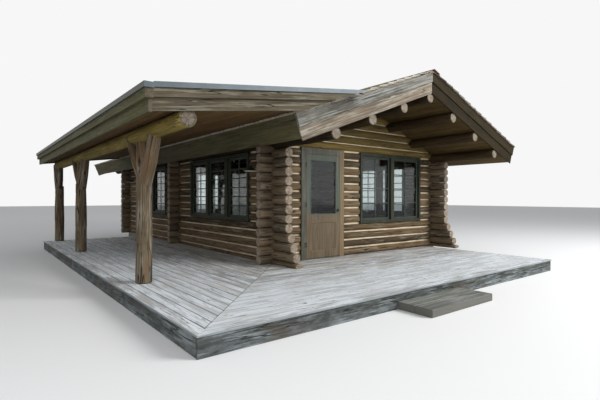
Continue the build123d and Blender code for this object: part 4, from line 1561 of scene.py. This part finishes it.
@dataclass
class Openings:
    """Glazing bars of the windows, and the door's own parts."""

    bar: float = 0.022
    deep: float = 0.034
    rows_end: int = 4
    rows_side: int = 6
    ease: float = 0.006
    proud: float = 0.001
    moulding: float = 0.016
    moulding_ease: float = 0.005
    moulding_depths: tuple[float, float] = (0.0095, 0.026)
    bead: float = 0.02
    bead_depths: tuple[float, float] = (-0.0225, -0.0105)
    panel: tuple[float, float] = (-0.73, -0.15)
    seed: int = 8020
    door_seed: int = 8900

    def build(self) -> None:
        """Adds the windows' bars and the door's mouldings."""
        sketch = Sketch("window_bars")
        for number, (low, high) in enumerate(solids("window_glass")):
            seed = self.seed + number * 20
            axis = 0 if high[0] - low[0] > high[1] - low[1] else 1
            cross = 1 - axis
            middle = (low + high) / 2
            rows = self.rows_side if axis else self.rows_end
            for row in (*range(1, rows), 0):
                run, level, deep = (axis, 2, self.deep / 2) if row else (2, axis, self.deep / 2 + self.proud)
                start, end = low.copy(), high.copy()
                place = low[2] + (high[2] - low[2]) * row / rows if row else middle[axis]
                start[level], end[level] = place - self.bar / 2, place + self.bar / 2
                start[cross], end[cross] = middle[cross] - deep, middle[cross] + deep
                plank(sketch, start, end, run, seed + row, self.ease)
        sketch.build(("bar",), slot="trim_paint")
        self.door_beads()

    def rim(self, sketch: Sketch, low: np.ndarray, high: np.ndarray, wide: float, ease: float, seed: int) -> None:
        """Frames an upright rectangle with four beads.

        Args:
            sketch: the mesh in the making.
            low: the rectangle's lowest corner.
            high: its highest corner.
            wide: the beads' width.
            ease: size of their eased edges.
            seed: the number before the first bead's.
        """
        for number in range(4):
            upright, far = divmod(number, 2)
            start, end = low.copy(), high.copy()
            if upright:
                start[2], end[2] = low[2] + wide, high[2] - wide
            across = 0 if upright else 2
            if far:
                start[across] = high[across] - wide
            else:
                end[across] = low[across] + wide
            plank(sketch, start, end, 2 if upright else 0, seed + 1 + number, ease)

    def door_beads(self) -> None:
        """Adds the mouldings round the door's light and panel."""
        low, high = box_of("door_glass")
        middle = (low[1] + high[1]) / 2
        light = Sketch("door_mouldings")
        for seed, way in ((self.door_seed, -1), (self.door_seed + 4, 1)):
            low[1], high[1] = sorted(middle + way * depth for depth in self.moulding_depths)
            self.rim(light, low, high, self.moulding, self.moulding_ease, seed)
        light.build(("bar",), body="door", slot="trim_paint")
        panel = Sketch("door_panel_beads")
        foot, top = (low[2] + drop for drop in self.panel)
        near, far = (middle + depth for depth in self.bead_depths)
        self.rim(panel, np.array([low[0], near, foot]), np.array([high[0], far, top]), self.bead, self.ease,
                 self.door_seed + 8)
        panel.build(("casing",), body="door", slot="trim_paint")


@dataclass
class RoofEdges:
    """Barge boards, eave boards and their drip edges."""

    slope: float = ROOF_SLOPE
    upper: float = 0.21
    lower: float = 0.20
    deep: float = 0.38
    board: float = 0.04
    step: float = 0.02
    drip: float = 0.014
    gap: float = 0.002
    half_butt: float = 0.0015
    seed: int = 9000

    def frame(self, side: int, y: float, inward: int) -> tuple[np.ndarray, np.ndarray]:
        """A slope's own frame: along it, square out of it, and along the cabin.

        Args:
            side: -1 for the left slope, 1 for the right.
            y: the gable face's place.
            inward: 1 if the cabin lies towards +y, -1 if towards -y.

        Returns:
            Its origin at the eave's top corner, and its three directions.
        """
        low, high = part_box("barge_boards_front")
        run = (high.x - low.x) / 2
        pitch = math.atan(self.slope)
        origin = np.array([low.x if side < 0 else high.x, y, high.z - run * self.slope])
        turn = np.array([[-side * math.cos(pitch), 0, math.sin(pitch)],
                         [side * math.sin(pitch), 0, math.cos(pitch)], [0, inward, 0]])
        return origin, turn

    def build(self) -> None:
        """Sets the boards along the gables and the eaves."""
        low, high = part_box("barge_boards_front")
        length = (high.x - low.x) / 2 / math.cos(math.atan(self.slope))
        seed = self.seed
        for node, face, inward in (("barge_boards_front", low.y, 1),
                                   ("barge_boards_back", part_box("barge_boards_back")[1].y, -1)):
            sketch = Sketch(node + "_planks")
            # The right slope's boards (side 1) take marks 2 and 3, the painted-shade finishes.
            for side in (-1, 1):
                lean = self.frame(side, face, inward)
                for mark, near, far, back in ((0, 0.0, self.upper, 0.0),
                                              (1, self.upper + self.gap, self.upper + self.lower, self.step)):
                    seed += 1
                    reach = length - (near + far) / 2 * self.slope
                    plank(sketch, np.array([0.0, -far, back]), np.array([reach, -near, self.board]), 0, seed, 0.004,
                          skew=(0.0, self.slope), mark=mark + side + 1, lean=lean)
            sketch.build(("barge_upper", "barge_lower", "barge_shade_upper", "barge_shade_lower"),
                         slot="barge_wood", replaces=(node,))
        sketch = Sketch("eave_planks")
        start, end = (c.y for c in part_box("eave_fascia"))
        for side in (-1, 1):
            lean = self.frame(side, 0.0, 1)
            middle = (start + end) / 2
            for x0, z0, z1, y0, y1, ease, mark in (
                    (self.gap, -self.deep, -self.drip, start, middle - self.half_butt, 0.003, 0),
                    (self.gap, -self.deep, -self.drip, middle + self.half_butt, end, 0.003, 0),
                    (0.0, -self.drip, 0.0, start, end, 0.002, 1)):
                seed += 1
                plank(sketch, np.array([x0, z0, y0]), np.array([self.board, z1, y1]), 2, seed, ease, mark=mark,
                      lean=lean)
        sketch.build(("fascia", "drip"), slot="fascia_wood", replaces=("eave_fascia",))


@dataclass
class BarnLamps:
    """Enamelled barn lamps on swan-neck arms."""

    around: int = 40
    profile: tuple[tuple[float, float], ...] = (
        (0.000, 1.00), (0.16, 0.99), (0.22, 0.93), (0.235, 0.80), (0.26, 0.70), (0.36, 0.60), (0.58, 0.44),
        (0.80, 0.24), (0.95, 0.06), (1.0, 0.0), (0.985, 0.012), (0.93, 0.075), (0.78, 0.22), (0.56, 0.41),
        (0.34, 0.56), (0.10, 0.63), (0.0, 0.64))

    rim_rings: tuple[int, ...] = (8, 9, 10, 11, 12)
    bulb: tuple[float, float] = (0.030, 0.034)
    bulb_height: float = 0.34
    bulb_rings: int = 12
    bulb_opening: float = 0.02

    def build(self) -> None:
        """Turns the shades and the bulbs."""
        sketch = Sketch("lamp_shades_turned")
        for low, high in solids("lamp_shades"):
            middle, size = (low + high) / 2, high - low
            marks = [int(ring in self.rim_rings) for ring in range(len(self.profile) - 1)]
            self.turned(sketch, middle, [(size[0] / 2 * r, low[2] + size[2] * h) for r, h in self.profile], marks)
            height = low[2] + size[2] * self.bulb_height
            angles = np.linspace(self.bulb_opening, math.pi - self.bulb_opening, self.bulb_rings)
            rows = [(self.bulb[0] * math.sin(a), height - self.bulb[1] * math.cos(a)) for a in angles]
            self.turned(sketch, middle, rows, [2] * (len(rows) - 1))
        sketch.build(("lamp", "lamp_rim", "bulb"), slot="lamp_metal", replaces=("lamp_shades",))

    def turned(self, sketch: Sketch, middle: np.ndarray, rows: Sequence[tuple[float, float]],
               marks: Sequence[int]) -> None:
        """Adds a turned shape.

        Args:
            sketch: the mesh in the making.
            middle: a point on its upright axis.
            rows: radius and height of each ring.
            marks: the material's number between each two rings.
        """
        turn = np.linspace(0, 2 * math.pi, self.around, endpoint=False)
        rings = [np.stack([middle[0] + np.cos(turn) * radius, middle[1] + np.sin(turn) * radius,
                           np.full(self.around, height)], 1) for radius, height in rows]
        faces = rings_to_faces(len(rings), self.around)
        sketch.add(np.concatenate(rings), faces, [marks[i // self.around] for i in range(len(faces))])


@dataclass
class Trim:
    """Pieces that keep their frame shapes, each with its finish and the width of its eased edges."""

    table: tuple[tuple[str, str, float], ...] = (
        ("window_frames", "frame", 0.004), ("window_sashes", "sash", 0.004), ("window_glass", "glass", 0.0),
        ("door_frame", "door_frame", 0.005), ("door_leaf", "door", 0.003), ("door_glass", "glass", 0.0),
        ("door_hinges", "iron", 0.0), ("lamp_arms", "lamp", 0.001),
        ("plinth", "plinth", 0.006), ("floor", "floor", 0.0), ("roof_panel_left", "soffit", 0.0),
        ("roof_panel_right", "soffit", 0.0), ("porch_roof_panel", "porch_soffit", 0.0),
        ("ridge_cap", "ridge", 0.001), ("porch_edge_boards_ends", "porch_board_x", 0.004),
        ("porch_edge_boards_side", "porch_board_y", 0.004), ("porch_edge_metal", "edge_metal", 0.002),
        ("deck_bearers", "bearer", 0.004))

    def build(self) -> None:
        """Dresses them."""
        for node, finish, edge in self.table:
            dress(node, finish, edge)


@dataclass
class Studio:
    """Pale floor, soft light and the photograph's viewpoint."""

    datum: Datum
    eye: tuple[float, float, float] = (-4.289, -6.292, 1.426)
    yaw: float = 38.07
    pitch: float = -0.30
    roll: float = 0.10
    lens: float = 25.10
    sensor: float = 36.0
    far: float = 300.0
    reach: float = 70.0
    ground: Colour = (0.80, 0.80, 0.80)
    light: Colour = (0.96, 0.98, 1.0)
    backdrop: Colour = (0.93, 0.93, 0.93)
    glow: float = 0.46

    def build(self) -> None:
        """Sets up the floor, world, lamps and camera."""
        scene = bpy.context.scene
        scene.view_settings.view_transform = "Standard"
        self.floor()
        self.sky(scene)
        self.lamp("key", place=(9.0, -13.0, 8.5), aim=(1.5, 2.0, 1.2), size=8.0, power=3000.0)
        self.lamp("fill", place=(-9.0, -10.0, 5.0), aim=(0.5, 2.0, 1.0), size=8.0, power=560.0)
        self.camera(scene)

    def floor(self) -> None:
        """Adds a wide pale floor."""
        sketch = Sketch("studio_floor")
        corners = ((-1, -1, 0), (1, -1, 0), (1, 1, 0), (-1, 1, 0))
        sketch.add(np.array(corners) * self.reach, [(0, 1, 2, 3)])
        mesh = sketch.mesh()
        mesh.materials.append(Bench("studio_floor").shade(self.ground, 0.9, Specular_IOR_Level=0.1))
        place_in_scene("studio_floor", mesh)

    def sky(self, scene: bpy.types.Scene) -> None:
        """Sets the world: a plain light, seen as a pale backdrop.

        Args:
            scene: the scene.
        """
        scene.world = bpy.data.worlds.new("studio")
        scene.world.use_nodes = True
        nodes = Nodes(scene.world.node_tree)
        camera, through, shine = (nodes.node("ShaderNodeLightPath", output=f"Is {ray} Ray")
                                  for ray in ("Camera", "Transmission", "Glossy"))
        light, seen = (nodes.node("ShaderNodeBackground", None, {0: colour, 1: strength})
                       for colour, strength in ((self.light, self.glow), (self.backdrop, 1.0)))
        shares = {0: camera.larger(through).larger(shine), 1: light, 2: seen}
        nodes.node("ShaderNodeOutputWorld", None, {0: nodes.node("ShaderNodeMixShader", None, shares)})

    def lamp(self, name: str, place: Colour, aim: Colour, size: float, power: float) -> None:
        """Adds a large soft lamp.

        Args:
            name: the lamp's name.
            place: where it stands, from the cabin's corner.
            aim: what it points at, from the same corner.
            size: its width in metres.
            power: its power in watts.
        """
        data = bpy.data.lights.new(name, "AREA")
        data.size = size
        data.energy = power
        made = place_in_scene(name, data)
        made.location = Vector((self.datum.x, self.datum.y, 0.0)) + Vector(place)
        made.rotation_euler = (Vector(aim) - Vector(place)).to_track_quat("-Z", "Y").to_euler()

    def camera(self, scene: bpy.types.Scene) -> None:
        """Places the camera where the photograph was taken.

        Args:
            scene: the scene.
        """
        yaw, pitch, roll = (math.radians(a) for a in (self.yaw, self.pitch, self.roll))
        forward = Vector((math.sin(yaw) * math.cos(pitch), math.cos(yaw) * math.cos(pitch), math.sin(pitch)))
        right = Vector((math.cos(yaw), -math.sin(yaw), 0.0))
        upward = right.cross(forward)
        turned = right * math.cos(roll) + upward * math.sin(roll)
        upward = upward * math.cos(roll) - right * math.sin(roll)
        data = bpy.data.cameras.new("viewpoint")
        data.lens = self.lens
        data.sensor_width = self.sensor
        data.clip_end = self.far
        made = place_in_scene("viewpoint", data)
        place = Matrix((turned, upward, -forward)).transposed().to_4x4()
        place.translation = Vector((self.datum.x, self.datum.y, 0.0)) + Vector(self.eye)
        made.matrix_world = place
        scene.camera = made


def main() -> None:
    """Builds the cabin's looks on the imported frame."""
    logging.basicConfig(level=logging.INFO, format="%(name)s %(message)s")
    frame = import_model()
    FRAME_NODES.update(frame["nodes"])
    datum = Datum.find()
    LogWalls(datum).build()
    MortarLines().build()
    main_roof = {"slope": ROOF_SLOPE, "butt": 0.034, "tilt": 0.052, "over": 0.04, "lip": 0.028, "proud": 0.022}
    ShakeRoof("roof_covering_left", 1, **main_roof, eave_lip=0.02, seed=11).build()
    # The right slope's shakes along the front edge carry painted shade.
    ShakeRoof("roof_covering_right", -1, **main_roof, eave_lip=-0.015, shade_front_edge=True, seed=12).build()
    ShakeRoof("porch_roof_covering", 1, PORCH_SLOPE, seed=13).build()
    RoofEdges().build()
    Deck(datum).build()
    ForkedPosts().build()
    Openings().build()
    BarnLamps().build()
    Trim().build()
    Studio(datum).build()


if __name__ == "__main__":
    main()
